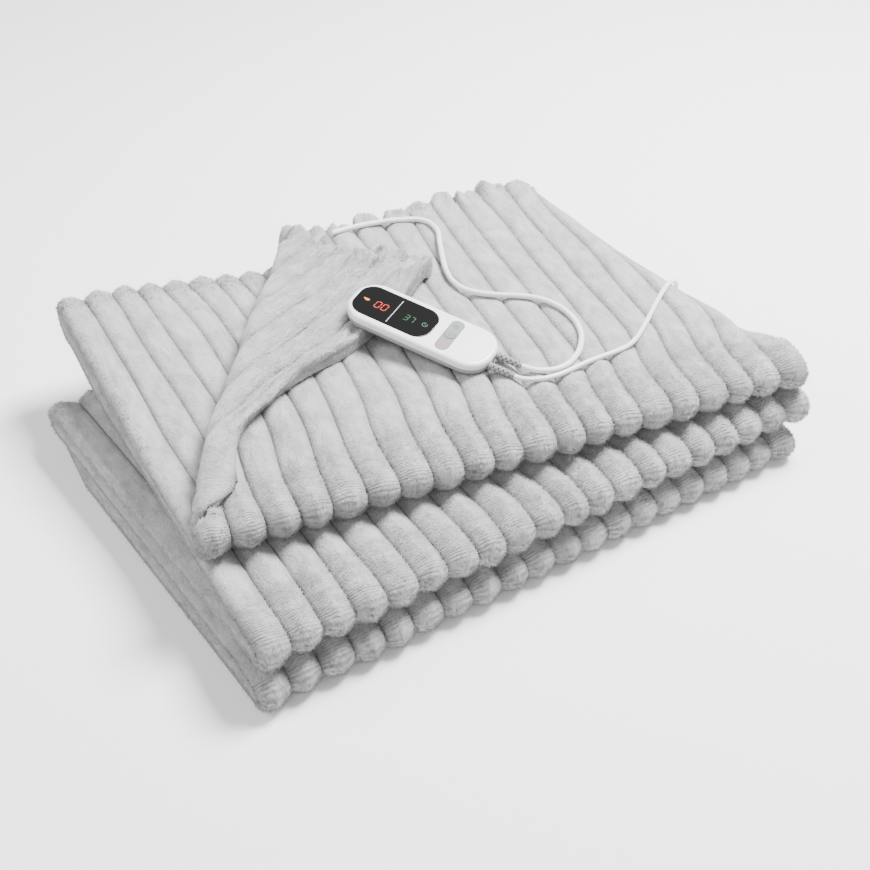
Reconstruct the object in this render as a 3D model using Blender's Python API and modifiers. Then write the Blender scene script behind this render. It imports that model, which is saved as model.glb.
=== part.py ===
"""Folded electric blanket with its hand control, for Blender 4.5. Metres, +Z up.

The blanket is one ribbed sheet laid in six layers, back and forth, with three rolls at the
front (-Y) and two at the back. The top layer's near-left corner is turned back over a crease.
The origin is on the floor under the middle of the pile.
"""

import math

import bmesh
import bpy
import numpy as np
from mathutils import Matrix

# ---- driving sizes --------------------------------------------------------------------------
RIB_WIDTH = 0.031          # sewn channel, groove to groove
RIB_COUNT = 20
SHEET_WIDTH = RIB_WIDTH * RIB_COUNT
HALF_THICK = 0.0083        # half of the plush's thickness on a rib's crown
LAYER_RISE = 0.0181        # from one layer's middle to the next
GROOVE_FLAT = 0.0034       # depth of a groove where the cloth lies flat
GROOVE_ROLL = 0.0085       # depth of a groove on the outside of a roll
INNER_GROOVE = 0.0040      # depth of a groove on the inside of a roll
CROWN_START = 0.24         # share of a rib at which its flat crown starts
ROLL_REACH = 0.045         # how far from a roll its deep grooves fade out
HEM_HALF = 0.0030          # half thickness at a hem
END_LUMP = 0.009           # how far a rib's end puffs past the groove at the last hem
PILE_MIDDLE = np.array([0.2330, 0.1620])   # plan point of the tables that becomes the origin

# Fold lines in plan, in the tables' own frame: x along the front edge, y to the back.
# name, left x, left y, right x, right y, out (+1 to the back, -1 to the front), bow
FOLDS = [
    ("first hem",  -0.115, 0.278, 0.474, 0.402, +1, 0.0),
    ("low roll",   -0.023, -0.117, 0.566, -0.020, -1, 0.0),
    ("back low",   -0.112, 0.285, 0.474, 0.408, +1, 0.0),
    ("mid roll",   -0.017, -0.107, 0.581, -0.010, -1, 0.0),
    ("back high",  -0.077, 0.363, 0.472, 0.400, +1, 0.004),
    ("top roll",   -0.034, -0.004, 0.578, -0.003, -1, 0.0),
    ("last hem",   -0.034, 0.392, 0.600, 0.437, +1, 0.0),
]

# How the rows of the sheet's mesh are spread: share of each layer, then steps of each roll
LAYER_ROWS = [
    [0.0, 0.03],
    [0.0, 0.10],
    [0.0, 0.90],
    [0.0, 0.12, 0.62],
    [0.0, 0.25, 0.55, 0.85],
]
ROLL_STEPS = [4, 3, 5, 4, 5]
COLUMNS_IN_RIB = [0.0, CROWN_START, 1.0 - CROWN_START]

# The lifted loop at the back left, where the upper layers ride clear of the lower ones
LOOP_RISE_UNDER = 0.024
LOOP_RISE_OVER = 0.034
LOOP_X = (0.190, -0.060)
LOOP_Y_UNDER = (0.230, 0.350)
LOOP_Y_OVER = (0.070, 0.350)

# The top layer hangs over the pile's right side, past a line that leans with the lower layers
TOP_LEAN = 0.014           # sideways lean of the top layer's ribs behind the roll
SIDE_TUCK = 0.014          # how far the hidden right edges draw in behind the rolls
HANG_INSET = 0.015
HANG_RADIUS = 0.026
HANG_ANGLE = math.radians(78)
HANG_SHORTEN = 0.70
HANG_Y = (-0.030, 0.100)

# The turned-back corner
CREASE_FOOT = np.array([-0.028, 0.004])
CREASE_ANGLE = math.radians(29.5)
CREASE_RADIUS = 0.0102
FLAP_LENGTH = 0.400
FLAP_SETTLE = 0.0028        # how far the flap sinks from the crease towards its hem
FLAP_PUFF = 0.010          # rise of the flap's tip, and the share up the hem where it starts
FLAP_PUFF_START = 0.66
CREASE_STEPS = 6

# How far the flap's free hem lies from a straight fold: share of the way up, x shift, y shift
FLAP_HEM = [
    (0.00,  0.034, -0.004),
    (0.06,  0.033,  0.000),
    (0.12,  0.023,  0.012),
    (0.18,  0.015,  0.024),
    (0.26,  0.011,  0.033),
    (0.40,  0.013,  0.036),
    (0.52,  0.018,  0.027),
    (0.60,  0.019,  0.027),
    (0.72,  0.022,  0.036),
    (0.84,  0.024,  0.052),
    (1.00,  0.012,  0.050),
]

FLOOR = 0.0
GAP = 0.0003               # clearance between pieces that touch

# ---- the hand control, in its own frame: x along it to the leads, z out of its face ----------
CONTROL_LENGTH = 0.156
CONTROL_WIDTH = 0.058
CONTROL_CORNER = 0.0245
CONTROL_THICK = 0.0150
SEAM_HEIGHT = 0.0080
LOWER_ROUND = 0.0060       # the lower shell's rim draws in this far
UPPER_ROUND = 0.0042
LENS_LENGTH, LENS_WIDTH, LENS_CORNER, LENS_X = 0.0860, 0.0435, 0.0155, -0.0302
STRIP_LENGTH, STRIP_WIDTH, STRIP_CORNER, STRIP_X = 0.0455, 0.0135, 0.0065, 0.0302
POCKET_DEPTH = 0.0022
PROUD = 0.0002
BUTTON_RADIUS = 0.0052
BUTTON_PROUD = 0.0008
BUTTON_TRAVEL = 0.0009
CONTROL_HEADING = math.radians(-51.3)
CONTROL_TILT = math.radians(8.3)
CONTROL_ROLL = math.radians(4.2)
CONTROL_PLACE = (0.2414, 0.1656, 0.1185)

RELIEF_LENGTH = 0.026
RELIEF_ROOT = 0.0042
RELIEF_TIP = 0.0034
RELIEF_GROOVE = 0.0009
RELIEF_SPREAD = 0.0083
RELIEF_HEIGHT = 0.0075
RELIEF_DROOP = math.radians(-2)

# ---- leads, in the tables' frame: routes through points chosen by hand, coil, tie and plug ----
BLANKET_LEAD_DIAMETER = 0.0058
BLANKET_LEAD_POINTS = 60
BLANKET_LEAD = [
    (0.3131, 0.0883, 0.1123),
    (0.3172, 0.0832, 0.1115),
    (0.3320, 0.0745, 0.1106),
    (0.3500, 0.0735, 0.1106),
    (0.3676, 0.0826, 0.1106),
    (0.3840, 0.1006, 0.1106),
    (0.3936, 0.1204, 0.1106),
    (0.3969, 0.1455, 0.1106),
    (0.3921, 0.1689, 0.1106),
    (0.3821, 0.1851, 0.1106),
    (0.3657, 0.1982, 0.1106),
    (0.3475, 0.2080, 0.1106),
    (0.3300, 0.2195, 0.1106),
    (0.3180, 0.2335, 0.1106),
    (0.3135, 0.2505, 0.1106),
    (0.3150, 0.2705, 0.1106),
    (0.3215, 0.2955, 0.1106),
    (0.3310, 0.3255, 0.1106),
    (0.3395, 0.3555, 0.1106),
    (0.3335, 0.3775, 0.1106),
    (0.3115, 0.3885, 0.1106),
    (0.2805, 0.3940, 0.1106),
    (0.2525, 0.3945, 0.1106),
    (0.2305, 0.3925, 0.1106),
]
MAINS_DIAMETER = 0.0050
MAINS_LEAD_POINTS = 80
MAINS_LEAD = [
    (0.3001, 0.0781, 0.1111),
    (0.3035, 0.0738, 0.1105),
    (0.3205, 0.0655, 0.1101),
    (0.3365, 0.0640, 0.1101),
    (0.3545, 0.0665, 0.1102),
    (0.3725, 0.0705, 0.1103),
    (0.3905, 0.0730, 0.1103),
    (0.4075, 0.0748, 0.1103),
    (0.4225, 0.0780, 0.1103),
    (0.4360, 0.0850, 0.1103),
    (0.4531, 0.0990, 0.1103),
    (0.4713, 0.1158, 0.1103),
    (0.4905, 0.1340, 0.1103),
    (0.5110, 0.1520, 0.1103),
    (0.5260, 0.1640, 0.1071),
    (0.5395, 0.1740, 0.0970),
    (0.5470, 0.1820, 0.0825),
    (0.5515, 0.1895, 0.0650),
    (0.5550, 0.1975, 0.0470),
    (0.5585, 0.2065, 0.0300),
    (0.5620, 0.2185, 0.0150),
    (0.5645, 0.2345, 0.0060),
    (0.5655, 0.2535, 0.0032),
    (0.5640, 0.2805, 0.0028),
    (0.5580, 0.3205, 0.0028),
    (0.5485, 0.3655, 0.0028),
    (0.5380, 0.4055, 0.0028),
    (0.5295, 0.4355, 0.0028),
    (0.5195, 0.4535, 0.0028),
    (0.4985, 0.4615, 0.0030),
    (0.4715, 0.4540, 0.0034),
    (0.4415, 0.4410, 0.0040),
    (0.4145, 0.4337, 0.0042),
    (0.3925, 0.4322, 0.0042),
]
COIL_CENTRE = (0.3915, 0.4705)
COIL_RADIUS = 0.0275
COIL_HALF = 0.0078
COIL_HEIGHT = 0.0155
COIL_BOTTOM = 0.0017
TIE_GAP = 0.0008
TIE_THICK = 0.0008
TIE_WIDTH = 0.008
TIE_ANGLE = math.radians(60)
MAINS_TAIL_POINTS = 20
MAINS_TAIL = [
    (0.3532, 0.4715, 0.0140),
    (0.3528, 0.4835, 0.0128),
    (0.3480, 0.4955, 0.0105),
    (0.3380, 0.5030, 0.0082),
    (0.3253, 0.5055, 0.0071),
]
PLUG_FACE = (0.2805, 0.5055)
PLUG_HEIGHT = 0.0070
PIN_LENGTH = 0.019
PIN_SPREAD = 0.0093


def from_origin(point):
    """A point of the tables, moved to the part's own frame."""
    return (point[0] - PILE_MIDDLE[0], point[1] - PILE_MIDDLE[1], *point[2:])


def smooth(value, start, end):
    """0 at start, 1 at end, with a level beginning and end."""
    share = np.clip((value - start) / (end - start), 0.0, 1.0)
    return share * share * (3.0 - 2.0 * share)


# ---- the blanket's middle surface -------------------------------------------------------------
def fold_line(index, across):
    """Plan points of a fold line for the shares `across`, and its outward direction."""
    _, left_x, left_y, right_x, right_y, out, bow = FOLDS[index]
    left, right = np.array([left_x, left_y]), np.array([right_x, right_y])
    along = (right - left) / np.linalg.norm(right - left)
    outward = out * np.array([-along[1], along[0]])
    points = left + (right - left) * across[:, None]
    points = points + outward * (4.0 * bow * across * (1.0 - across))[:, None]
    return points, outward


def side_edge(y):
    """x of the lower layers' right edge at the depth y."""
    return 0.581 - 0.250 * y - SIDE_TUCK * smooth(y, 0.0, 0.08) * (1.0 - smooth(y, 0.2, 0.4))


def layer_height(layer, plan):
    """Height of a layer's middle surface over the plan points."""
    x, y = plan[..., 0], plan[..., 1]
    height = HALF_THICK + LAYER_RISE * layer + 0.0 * x
    loop = smooth(x, *LOOP_X)
    if layer == 3:
        height = height + LOOP_RISE_UNDER * loop * smooth(y, *LOOP_Y_UNDER)
    if layer >= 4:
        height = height + LOOP_RISE_OVER * loop * smooth(y, *LOOP_Y_OVER)
    return height


def roll_centre(index, across):
    """Plan centre, radius and middle height of a roll."""
    points, outward = fold_line(index, across)
    low = layer_height(index - 1, points)
    high = layer_height(index, points)
    radius = (high - low) / 2.0
    return points - outward * radius[:, None], outward, radius, (low + high) / 2.0


def roll_row(index, step, across):
    """One row of a roll: half a turn from the lower layer to the upper one."""
    centre, outward, radius, height = roll_centre(index, across)
    angle = math.pi * (step - 0.5)
    plan = centre + outward * (radius * math.cos(angle))[:, None]
    return np.column_stack([plan, height + radius * math.sin(angle)])


def layer_ends(layer, across):
    start = fold_line(0, across)[0] if layer == 0 else roll_centre(layer, across)[0]
    end = fold_line(6, across)[0] if layer == 5 else roll_centre(layer + 1, across)[0]
    return start, end


def layer_row(layer, share, across):
    """One row of a lower layer, drawn in at its right edge behind the rolls."""
    start, end = layer_ends(layer, across)
    plan = start + (end - start) * share
    edge = start[-1] + (end[-1] - start[-1]) * share
    pull = min(0.0, side_edge(edge[1]) - edge[0])
    plan[:, 0] += pull * across ** 4
    return np.column_stack([plan, layer_height(layer, plan)])


def top_plan(across, share):
    """Flat plan points of the top layer. share is one number for each column."""
    start, end = layer_ends(5, across)
    plan = start + (end - start) * share[:, None]
    plan[:, 0] += TOP_LEAN * across ** 0.5 * smooth(plan[:, 1], 0.0, 0.07)
    return plan


def crease_reach(plan):
    """How far a plan point lies past the crease, on the side that is turned back."""
    away = plan - CREASE_FOOT
    return away[:, 1] * math.sin(CREASE_ANGLE) - away[:, 0] * math.cos(CREASE_ANGLE)


def hang(points):
    """Bends what overhangs the right side down against it."""
    y = points[:, 1]
    start = side_edge(y) - HANG_INSET
    past = np.maximum(0.0, points[:, 0] - start) * (1.0 - (1.0 - HANG_SHORTEN) * smooth(y, *HANG_Y))
    most = np.maximum(1e-4, HANG_ANGLE * smooth(y, *HANG_Y))
    angle = np.minimum(past / HANG_RADIUS, most)
    rest = np.maximum(0.0, past - most * HANG_RADIUS)
    out = points.copy()
    over = points[:, 0] > start
    out[:, 0] = start + HANG_RADIUS * np.sin(angle) + rest * np.cos(angle)
    out[:, 2] -= HANG_RADIUS * (1.0 - np.cos(angle)) + rest * np.sin(angle)
    out[~over] = points[~over]
    return out


def turn_back(plan, points):
    """Turns what lies past the crease up and over, about the crease's own radius."""
    past = crease_reach(plan)
    side = np.array([math.cos(CREASE_ANGLE), -math.sin(CREASE_ANGLE)])
    ahead = np.array([math.sin(CREASE_ANGLE), math.cos(CREASE_ANGLE)])
    foot = plan + side * past[:, None]
    half_turn = math.pi * CREASE_RADIUS
    angle = np.clip(past / CREASE_RADIUS, 0.0, math.pi)
    flat = np.maximum(0.0, past - half_turn)
    along = (foot - CREASE_FOOT) @ ahead
    # share of the way from the crease to the hem, and of the way up the hem
    hem_reach = np.maximum(0.012, along * math.tan(CREASE_ANGLE) + 0.006)
    out_share = smooth(past / hem_reach, 0.2, 1.0)
    up_share = np.clip(along / FLAP_LENGTH, 0.0, 1.0)
    share_up, shift_x, shift_y = np.array(FLAP_HEM).T
    shift = [np.interp(up_share, share_up, shift_x), np.interp(up_share, share_up, shift_y)]
    turned = foot + side * (flat - CREASE_RADIUS * np.sin(angle))[:, None]
    turned = turned + np.stack(shift, axis=1) * out_share[:, None]
    laid = smooth(flat, 0.0, 0.05)
    height = layer_height(5, foot) * (1.0 - laid) + layer_height(5, turned) * laid
    height = height + CREASE_RADIUS * (1.0 - np.cos(angle)) - FLAP_SETTLE * laid
    height = height + FLAP_PUFF * out_share * smooth(up_share, FLAP_PUFF_START, 1.0)
    out = points.copy()
    over = past > 0.0
    out[over] = np.column_stack([turned, height])[over]
    return out


def top_shares(across):
    """Row positions in the top layer, one row of shares at a time, close together at the crease."""
    start, end = layer_ends(5, across)
    length = end[:, 1] - start[:, 1]
    foot_y = CREASE_FOOT[1] + (start[:, 0] - CREASE_FOOT[0]) / math.tan(CREASE_ANGLE)
    turn = math.pi * CREASE_RADIUS / math.sin(CREASE_ANGLE)
    first = np.clip(foot_y - start[:, 1], 0.014, length - turn - 0.035)
    last = first + turn
    shares = [0.25 * first, 0.62 * first]
    shares += [first + (last - first) * step / CREASE_STEPS for step in range(CREASE_STEPS + 1)]
    shares += [last + (length - last) * step for step in (0.30, 0.62, 0.92, 1.0)]
    return [share / length for share in shares]


def top_row(share, across):
    plan = top_plan(across, share)
    crown = rib_crown(across * SHEET_WIDTH / RIB_WIDTH)
    plan[:, 1] += END_LUMP * crown * smooth(share, 0.93, 1.0)
    points = np.column_stack([plan, layer_height(5, plan)])
    return turn_back(plan, hang(points))


# ---- the blanket's two faces -------------------------------------------------------------------
def rib_crown(ribs):
    """0 in a groove, 1 on the flat crown, for a position counted in ribs."""
    wave = np.abs(np.sin(np.pi * ribs)) / math.sin(math.pi * CROWN_START)
    return np.minimum(1.0, wave) ** 0.5


def sheet_rows(across):
    """All rows of the middle surface, with each row's nearness to a front and a back roll."""
    rows, front, back = [], [], []

    def add(points, near_front, near_back):
        rows.append(points)
        front.append(near_front)
        back.append(near_back)

    def nearness(points, fold):
        line, _ = fold_line(fold, across)
        return 1.0 - smooth(np.abs(points[:, 1] - line[:, 1]), 0.012, ROLL_REACH)

    for layer in range(5):
        for share in LAYER_ROWS[layer]:
            points = layer_row(layer, share, across)
            near = [nearness(points, fold) for fold in (layer, layer + 1)]
            if layer % 2 == 0:
                near.reverse()
            if layer == 0:
                near[1] = 0.0 * near[1]
            add(points, *near)
        steps = ROLL_STEPS[layer]
        for step in range(steps + 1 if layer == 4 else steps):
            points = roll_row(layer + 1, step / steps, across)
            one, none = np.ones(len(across)), np.zeros(len(across))
            add(points, *((one, none) if layer % 2 == 0 else (none, one)))
    for share in top_shares(across):
        points = top_row(share, across)
        flat = top_plan(across, share)
        past = crease_reach(flat) > 0.0
        near = np.where(past, 0.0, 1.0 - smooth(flat[:, 1], 0.012, ROLL_REACH))
        add(points, near, np.zeros(len(across)))
    return np.array(rows), np.array(front), np.array(back)


def sheet_faces(columns):
    """Vertex grids of the sheet's two faces."""
    across = np.array(columns) / RIB_COUNT
    rows, front, back = sheet_rows(across)
    along = np.gradient(rows, axis=0)
    sideways = np.gradient(rows, axis=1)
    normal = np.cross(sideways, along)
    normal /= np.linalg.norm(normal, axis=2, keepdims=True)
    groove = 1.0 - rib_crown(np.array(columns))[None, :]
    # full thickness inside, thin at the two side hems and the two end hems
    edge = np.minimum(np.array(columns), RIB_COUNT - np.array(columns))[None, :]
    side = smooth(edge, -0.35, 0.5)
    count = len(rows)
    from_end = np.minimum(np.arange(count), count - 1 - np.arange(count))[:, None]
    body = side * np.where(from_end == 0, 0.45, 1.0)

    def half(outer, inner):
        depth = GROOVE_FLAT + (GROOVE_ROLL - GROOVE_FLAT) * outer
        depth = depth + (INNER_GROOVE - depth) * inner
        full = HALF_THICK - 0.0007 * inner
        return np.maximum((full - depth * groove) * body, HEM_HALF * (1.0 - outer))

    front_side = rows + normal * half(front, back)[..., None]
    back_side = rows - normal * half(back, front)[..., None]
    for face in (front_side, back_side):
        face[..., 2] = np.maximum(face[..., 2], FLOOR)
        face[..., :2] -= PILE_MIDDLE
    return front_side, back_side


def sheet_columns():
    columns = [rib + share for rib in range(RIB_COUNT) for share in COLUMNS_IN_RIB]
    return columns + [float(RIB_COUNT)]


def make_blanket(collection):
    """Joins the two faces along the hems into one closed body."""
    front_side, back_side = sheet_faces(sheet_columns())
    rows, columns = front_side.shape[:2]
    index = np.arange(rows * columns).reshape(rows, columns)
    other = index + rows * columns
    quads = []

    def strip(a, b, c, d):
        quads.append(np.stack([a, b, c, d], axis=-1).reshape(-1, 4))

    strip(index[:-1, :-1], index[:-1, 1:], index[1:, 1:], index[1:, :-1])
    strip(other[:-1, :-1], other[1:, :-1], other[1:, 1:], other[:-1, 1:])
    strip(index[:-1, 0], index[1:, 0], other[1:, 0], other[:-1, 0])
    strip(index[1:, -1], index[:-1, -1], other[:-1, -1], other[1:, -1])
    strip(index[0, 1:], index[0, :-1], other[0, :-1], other[0, 1:])
    strip(index[-1, :-1], index[-1, 1:], other[-1, 1:], other[-1, :-1])
    points = np.concatenate([front_side.reshape(-1, 3), back_side.reshape(-1, 3)])
    mesh = bpy.data.meshes.new("blanket")
    mesh.from_pydata(points.tolist(), [], np.concatenate(quads).tolist())
    mesh.validate()
    mesh.shade_smooth()
    blanket = bpy.data.objects.new("blanket", mesh)
    collection.objects.link(blanket)
    return blanket


# ---- shapes for the hard pieces and the cords --------------------------------------------------
def add_object(name, mesh, collection):
    thing = bpy.data.objects.new(name, mesh)
    collection.objects.link(thing)
    return thing


def rounded_outline(length, width, corner, steps):
    """Corner points of a rounded rectangle round its middle, counter-clockwise."""
    points = []
    for quarter, (sign_x, sign_y) in enumerate([(1, 1), (-1, 1), (-1, -1), (1, -1)]):
        for step in range(steps + 1):
            angle = math.pi / 2.0 * (quarter + step / steps)
            x = sign_x * (length / 2.0 - corner) + corner * math.cos(angle)
            y = sign_y * (width / 2.0 - corner) + corner * math.sin(angle)
            points.append((x, y))
    return points


def slab(name, outline, low, high, collection, low_round=0.0, high_round=0.0, centre=(0.0, 0.0)):
    """An outline raised from low to high, with its two rims rounded by a weighted Bevel."""
    solid = bmesh.new()
    base = [solid.verts.new((x + centre[0], y + centre[1], low)) for x, y in outline]
    bottom = solid.faces.new(base)
    raised = bmesh.ops.extrude_face_region(solid, geom=[bottom])["geom"]
    top_points = [item for item in raised if isinstance(item, bmesh.types.BMVert)]
    bmesh.ops.translate(solid, verts=top_points, vec=(0.0, 0.0, high - low))
    bmesh.ops.recalc_face_normals(solid, faces=solid.faces)
    largest = max(low_round, high_round)
    if largest > 0.0:
        weight = solid.edges.layers.float.new("bevel_weight_edge")
        for edge in solid.edges:
            heights = [point.co.z for point in edge.verts]
            if max(heights) - min(heights) < 1e-6:
                is_low = heights[0] < (low + high) / 2.0
                edge[weight] = (low_round if is_low else high_round) / largest
    mesh = bpy.data.meshes.new(name)
    solid.to_mesh(mesh)
    solid.free()
    thing = add_object(name, mesh, collection)
    if largest > 0.0:
        bevel = thing.modifiers.new("rounded rims", "BEVEL")
        bevel.limit_method = "WEIGHT"
        bevel.width = largest
        bevel.segments = 3
    return thing


def disc(name, radius, low, high, collection, high_round=0.0):
    """A short upright cylinder from low to high, with its top rim rounded."""
    solid = bmesh.new()
    bmesh.ops.create_cone(solid, cap_ends=True, segments=24, radius1=radius, radius2=radius,
                          depth=high - low)
    bmesh.ops.translate(solid, verts=solid.verts, vec=(0.0, 0.0, (low + high) / 2.0))
    if high_round > 0.0:
        rim = [edge for edge in solid.edges if all(point.co.z > high - 1e-6 for point in edge.verts)]
        bmesh.ops.bevel(solid, geom=rim, offset=high_round, segments=3, profile=0.5,
                        affect="EDGES")
    mesh = bpy.data.meshes.new(name)
    solid.to_mesh(mesh)
    solid.free()
    return add_object(name, mesh, collection)


def cut(thing, cutter):
    """Takes the cutter's shape out of the thing, and keeps the cutter as a hidden guide."""
    cutter.hide_render = True
    cutter.display_type = "WIRE"
    take = thing.modifiers.new("cut", "BOOLEAN")
    take.operation = "DIFFERENCE"
    take.solver = "EXACT"
    take.object = cutter


def turned(name, profile, collection, steps, closed=False):
    """A profile of (radius, height) pairs turned about Z. It runs down its outer side."""
    points = [(radius, 0.0, height) for radius, height in profile]
    edges = [(i, i + 1) for i in range(len(points) - 1)]
    if closed:
        edges.append((len(points) - 1, 0))
    mesh = bpy.data.meshes.new(name)
    mesh.from_pydata(points, edges, [])
    thing = add_object(name, mesh, collection)
    turn = thing.modifiers.new("turn", "SCREW")
    turn.steps = steps
    turn.render_steps = steps
    turn.use_merge_vertices = True
    turn.merge_threshold = 1e-5
    turn.use_normal_calculate = False
    mesh.shade_smooth()
    return thing


def smooth_route(route, count):
    """Evenly spaced points on a smooth curve through the route's own points."""
    route = np.array(route)
    ends = [2.0 * route[0] - route[1], 2.0 * route[-1] - route[-2]]
    padded = np.vstack([ends[:1], route, ends[1:]])
    share = np.linspace(0.0, 1.0, 12, endpoint=False)[:, None]
    fine = []
    for before, start, end, after in zip(padded, padded[1:], padded[2:], padded[3:]):
        fine.append(0.5 * (
            2.0 * start + (end - before) * share
            + (2.0 * before - 5.0 * start + 4.0 * end - after) * share ** 2
            + (3.0 * start - before - 3.0 * end + after) * share ** 3
        ))
    fine = np.vstack(fine + [route[-1:]])
    length = np.concatenate([[0.0], np.cumsum(np.linalg.norm(np.diff(fine, axis=0), axis=1))])
    even = np.linspace(0.0, length[-1], count)
    return np.column_stack([np.interp(even, length, fine[:, axis]) for axis in range(3)])


def tube(name, points, diameter, collection):
    """A round cord along the points, with filled ends."""
    curve = bpy.data.curves.new(name, "CURVE")
    curve.dimensions = "3D"
    curve.bevel_depth = diameter / 2.0
    curve.bevel_resolution = 2
    curve.use_fill_caps = True
    line = curve.splines.new("POLY")
    line.points.add(len(points) - 1)
    for place, point in zip(line.points, points):
        place.co = (*from_origin(point), 1.0)
    return add_object(name, curve, collection)


# ---- the hand control ----------------------------------------------------------------------------
def control_matrix():
    tilt = Matrix.Rotation(CONTROL_TILT, 4, "Y") @ Matrix.Rotation(CONTROL_ROLL, 4, "X")
    heading = Matrix.Rotation(CONTROL_HEADING, 4, "Z")
    return Matrix.Translation(from_origin(CONTROL_PLACE)) @ heading @ tilt


def make_control(parts, cutters):
    """Two shells, the display, the key strip and the button, in the control's own frame."""
    outline = rounded_outline(CONTROL_LENGTH, CONTROL_WIDTH, CONTROL_CORNER, 9)
    lower = slab("control_lower_shell", outline, 0.0, SEAM_HEIGHT, parts,
                 low_round=LOWER_ROUND)
    upper = slab("control_upper_shell", outline, SEAM_HEIGHT + GAP, CONTROL_THICK, parts,
                 high_round=UPPER_ROUND)
    lens_shape = rounded_outline(LENS_LENGTH, LENS_WIDTH, LENS_CORNER, 8)
    lens_place = (LENS_X, 0.0)
    pocket_floor = CONTROL_THICK - POCKET_DEPTH
    lens = slab("display_lens", lens_shape, pocket_floor + GAP, CONTROL_THICK + PROUD, parts,
                high_round=0.0004, centre=lens_place)
    lens_pocket = slab("display_pocket", rounded_outline(
        LENS_LENGTH + 2 * GAP, LENS_WIDTH + 2 * GAP, LENS_CORNER + GAP, 8),
        pocket_floor, CONTROL_THICK + 0.01, cutters, centre=lens_place)
    cut(upper, lens_pocket)
    strip_place = (STRIP_X, 0.0)
    strip = slab("key_strip", rounded_outline(STRIP_WIDTH, STRIP_LENGTH, STRIP_CORNER, 8),
                 pocket_floor + GAP, CONTROL_THICK + PROUD, parts, high_round=0.0004,
                 centre=strip_place)
    strip_pocket = slab("strip_pocket", rounded_outline(
        STRIP_WIDTH + 2 * GAP, STRIP_LENGTH + 2 * GAP, STRIP_CORNER + GAP, 8),
        pocket_floor, CONTROL_THICK + 0.01, cutters, centre=strip_place)
    cut(upper, strip_pocket)
    button = disc("power_button", BUTTON_RADIUS, pocket_floor + GAP, CONTROL_THICK + BUTTON_PROUD,
                  parts, high_round=0.0005)
    hole = disc("button_well", BUTTON_RADIUS + GAP, pocket_floor - BUTTON_TRAVEL,
                CONTROL_THICK + 0.01, cutters)
    cut(strip, hole)
    cut(upper, hole)
    for piece in (lower, upper, lens, strip, lens_pocket, strip_pocket):
        piece.matrix_world = control_matrix()
    # the button's origin is on the line that it moves along
    for piece in (button, hole):
        piece.matrix_world = control_matrix() @ Matrix.Translation((STRIP_X, 0.0, 0.0))


def make_relief(name, side, collection):
    """A tapered, ridged strain relief, turned about its own axis, at one side of the end."""
    ridges = 5
    profile = [(0.0, RELIEF_LENGTH)]
    for step in range(2 * ridges, 0, -1):
        share = step / (2 * ridges)
        radius = RELIEF_ROOT + (RELIEF_TIP - RELIEF_ROOT) * share
        dip = RELIEF_GROOVE if step % 2 else 0.0
        profile.append((radius - dip, RELIEF_LENGTH * share))
    profile += [(RELIEF_ROOT, 0.0), (0.0, 0.0)]
    relief = turned(name, profile, collection, 12)
    droop = Matrix.Rotation(math.pi / 2.0 + RELIEF_DROOP, 4, "Y")
    place = Matrix.Translation((CONTROL_LENGTH / 2.0 + 0.0005, side * RELIEF_SPREAD, RELIEF_HEIGHT))
    relief.matrix_world = control_matrix() @ place @ droop
    return relief


# ---- coil, tie and plug --------------------------------------------------------------------------
def make_coil(collection):
    """The outer shape of the wound lead: a ring with rounded shoulders."""
    inner, outer = COIL_RADIUS - COIL_HALF, COIL_RADIUS + COIL_HALF
    low, high, soft = COIL_BOTTOM, COIL_BOTTOM + COIL_HEIGHT, 0.0022
    profile = [
        (outer - soft, high), (outer, high - soft), (outer, low + soft), (outer - soft, low),
        (inner + soft, low), (inner, low + soft), (inner, high - soft), (inner + soft, high),
    ]
    coil = turned("mains_coil", profile, collection, 28, closed=True)
    coil.location = (*from_origin(COIL_CENTRE), 0.0)
    return coil


def make_tie(parts, cutters):
    """A flat band round the coil's section, standing across it."""
    def band(name, extra, width, collection):
        shape = rounded_outline(2 * COIL_HALF + 2 * extra, COIL_HEIGHT + 2 * extra, 0.0030, 3)
        piece = slab(name, shape, -width / 2.0, width / 2.0, collection)
        upright = Matrix.Rotation(math.pi / 2.0, 4, "X")
        middle = (COIL_RADIUS, 0.0, COIL_BOTTOM + COIL_HEIGHT / 2.0)
        swing = Matrix.Rotation(TIE_ANGLE, 4, "Z")
        centre = Matrix.Translation((*from_origin(COIL_CENTRE), 0.0))
        piece.matrix_world = centre @ swing @ Matrix.Translation(middle) @ upright
        return piece

    tie = band("coil_tie", TIE_GAP + TIE_THICK, TIE_WIDTH, parts)
    cut(tie, band("tie_hole", TIE_GAP, TIE_WIDTH + 0.004, cutters))
    return tie


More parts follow.
